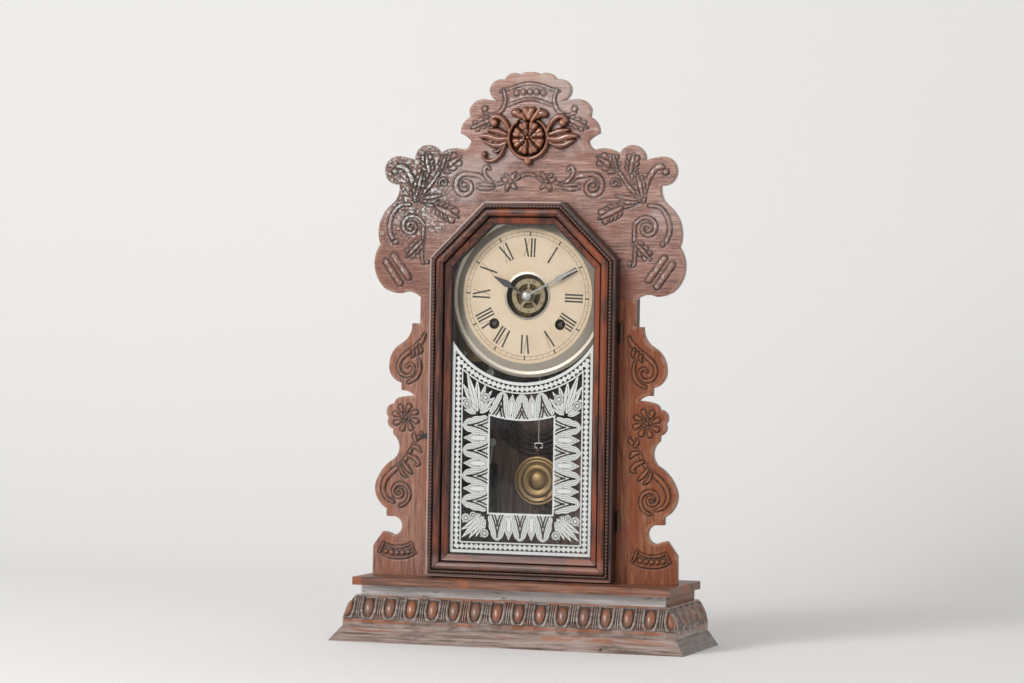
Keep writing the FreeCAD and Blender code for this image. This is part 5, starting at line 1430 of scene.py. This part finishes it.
def makeDialPrint(look):
    points, faces = [], []
    cx, cz = dialCentre
    pieces = look["pieces"]

    def quad(corners):
        faces.append(tuple(range(len(points), len(points) + 4)))
        points.extend((x * mm, look["depth"] * mm, z * mm) for x, z in corners)

    def sector(r0, r1, a0, a1):
        quad([(cx + r * math.sin(math.radians(a)), cz + r * math.cos(math.radians(a)))
              for r, a in ((r0, a0), (r0, a1), (r1, a1), (r1, a0))])

    for hour, word in enumerate(look["numerals"]):
        angle = math.radians(30 * hour + look["turned"])
        bars, left = [], 0.0
        for letter in word:
            wide, more = letterBars(letter, left, look["tall"], look["thick"], look["thin"])
            bars += more
            left += wide
        for u0, v0, u1, v1, thick in bars:
            run = math.hypot(u1 - u0, v1 - v0)
            du, dv = (u1 - u0) / run, (v1 - v0) / run
            for k in range(pieces):
                ends = []
                for share, sideways in ((k, -0.5), (k, 0.5), (k + 1, 0.5), (k + 1, -0.5)):
                    u = u0 + (u1 - u0) * share / pieces - dv * sideways * thick - left / 2
                    v = v0 + (v1 - v0) * share / pieces + du * sideways * thick + look["feet"]
                    ends.append((cx + v * math.sin(angle) + u * math.cos(angle),
                                 cz + v * math.cos(angle) - u * math.sin(angle)))
                middle = np.mean(ends, axis=0)
                if min(math.dist(middle, hole) for hole in look["holes"]) > look["holeRadius"]:
                    quad(ends)
    for radius in look["circles"]:
        for k in range(240):
            sector(radius - look["lineHalf"], radius + look["lineHalf"], 1.5 * k, 1.5 * (k + 1))
    for minute in range(60):
        at = 6 * minute + look["turned"]
        inner, outer, half = look["minuteDash"] if minute % 5 else look["hourDash"]
        sector(inner, outer, at - half, at + half)
    piece = addPiece("dialPrint", points, faces)
    rework(piece, (bpy.ops.mesh.remove_doubles, {"threshold": 1e-7}))
    for polygon in [p for p in piece.data.polygons if p.normal.y > 0]:
        polygon.flip()
    coat(piece, inkPaint)
    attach(piece, "case")
    print("dial printed:", len(piece.data.polygons), "faces")


makeDialPrint(dialSet)


# Alarm disc with its windows and rim numbers

discSet = {
    "front": -1.4,
    "thick": 1.0,
    "radius": 17.4,
    "bore": 3.2,
    "step": 0.32,
    "windows": 5,
    "windowRadii": (7.0, 12.6),
    "barHalf": 1.35,
    "figures": 15.2,
    "figureSize": 3.4,
    "proud": 0.05,
}


def makeDisc(look):
    cx, cz = dialCentre
    reach = look["radius"] + 2 * look["step"]
    ticks = np.arange(-reach, reach + look["step"], look["step"])
    x, z = np.meshgrid(ticks, ticks)
    away = np.hypot(x, z)
    turn = (np.arctan2(x, z) / (2 * math.pi) * look["windows"]) % 1 - 0.5
    across = np.abs(turn) * 2 * math.pi / look["windows"] * away
    inner, outer = look["windowRadii"]
    room = np.minimum(band(away, inner, outer), math.pi / look["windows"] * away - across - look["barHalf"])
    field = np.minimum(band(away, look["bore"], look["radius"]), -room)
    piece = cutSheet("alarmDiscCut", ticks + cx, ticks + cz, field, look["front"])
    closeBack(piece, (0, look["thick"] * mm, 0))
    coat(piece, nodePaint["alarm_disc"])
    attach(piece, "alarm_disc")
    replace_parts(piece, "alarm_disc")
    figures = []
    for hour in range(1, 13):
        turned = -math.radians(30 * hour)
        bpy.ops.object.text_add(location=(0, 0, 0))
        figure = bpy.context.object
        figure.data.body = str(hour)
        figure.data.size = look["figureSize"] * mm
        figure.data.align_x = "CENTER"
        figure.data.align_y = "CENTER"
        figure.data.resolution_u = 3
        bpy.ops.object.convert(target="MESH")
        out, up = -look["figures"] * math.sin(turned), look["figures"] * math.cos(turned)
        spot = Vector((cx + out, look["front"] - look["proud"], cz + up)) * mm
        upright = Matrix.Rotation(-turned, 4, "Y") @ Matrix.Rotation(math.pi / 2, 4, "X")
        figure.data.transform(Matrix.Translation(spot) @ upright)
        figures.append(figure)
    choose(*figures)
    bpy.ops.object.join()
    figures[0].name = "alarmFigures"
    coat(figures[0], inkPaint)
    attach(figures[0], "alarm_disc")
    print("alarm disc cut:", len(piece.data.polygons), "faces")


makeDisc(discSet)


# The pendulum's ringed bob

bobSet = {
    "profile": ((0.0, 0.0), (3.0, 0.1), (6.0, 0.55), (8.4, 1.4), (9.4, 2.1), (10.4, 2.0), (11.4, 1.3),
                (13.2, 0.9), (15.2, 1.0), (16.6, 1.5), (17.4, 2.2), (18.2, 2.2), (19.0, 1.6), (20.6, 1.3),
                (21.8, 1.7), (22.6, 2.5), (23.6, 2.3), (25.0, 2.6), (25.8, 3.4), (26.0, 4.5), (25.6, 6.2),
                (23.0, 8.0), (12.0, 8.9), (0.0, 9.0)),
    "radius": 26.0,
    "hook": 4.0,
    "wire": 1.2,
    "neck": 2.0,
    "neckRadius": 0.9,
    "turns": 72,
}


def makeBob(look):
    low, high = (np.array(c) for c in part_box("pendulum_bob"))
    middle = Vector((low + high) / 2)
    middle.z = low[2] + look["radius"] * mm
    rim = middle.z + look["radius"] * mm
    bpy.ops.mesh.primitive_cylinder_add(vertices=12, radius=look["neckRadius"] * mm,
                                        depth=2 * look["neck"] * mm, location=(middle.x, middle.y, rim))
    neck = bpy.context.object
    bpy.ops.mesh.primitive_torus_add(major_segments=28, minor_segments=10, major_radius=look["hook"] * mm,
                                     minor_radius=look["wire"] * mm, rotation=(0, math.pi / 2, 0),
                                     location=(middle.x, middle.y, rim + (look["neck"] + look["hook"]) * mm))
    hook = bpy.context.object
    points = [(middle[0] + r * mm, low[1] + y * mm, middle[2]) for r, y in look["profile"]]
    piece = addPiece("bobRinged", points, [], [(k, k + 1) for k in range(len(points) - 1)])
    turn = {"steps": look["turns"], "angle": 2 * math.pi, "center": middle, "axis": (0, 1, 0)}
    rework(piece, (bpy.ops.mesh.spin, turn))
    rework(piece, (bpy.ops.mesh.remove_doubles, {"threshold": 1e-6}),
           (bpy.ops.mesh.normals_make_consistent, {"inside": False}))
    choose(piece, neck, hook)
    bpy.ops.object.join()
    smooth(piece, 40)
    coat(piece, nodePaint["pendulum_bob"])
    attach(piece, "pendulum")
    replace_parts(piece, "pendulum_bob")
    print("bob ringed:", len(piece.data.polygons), "faces")


makeBob(bobSet)
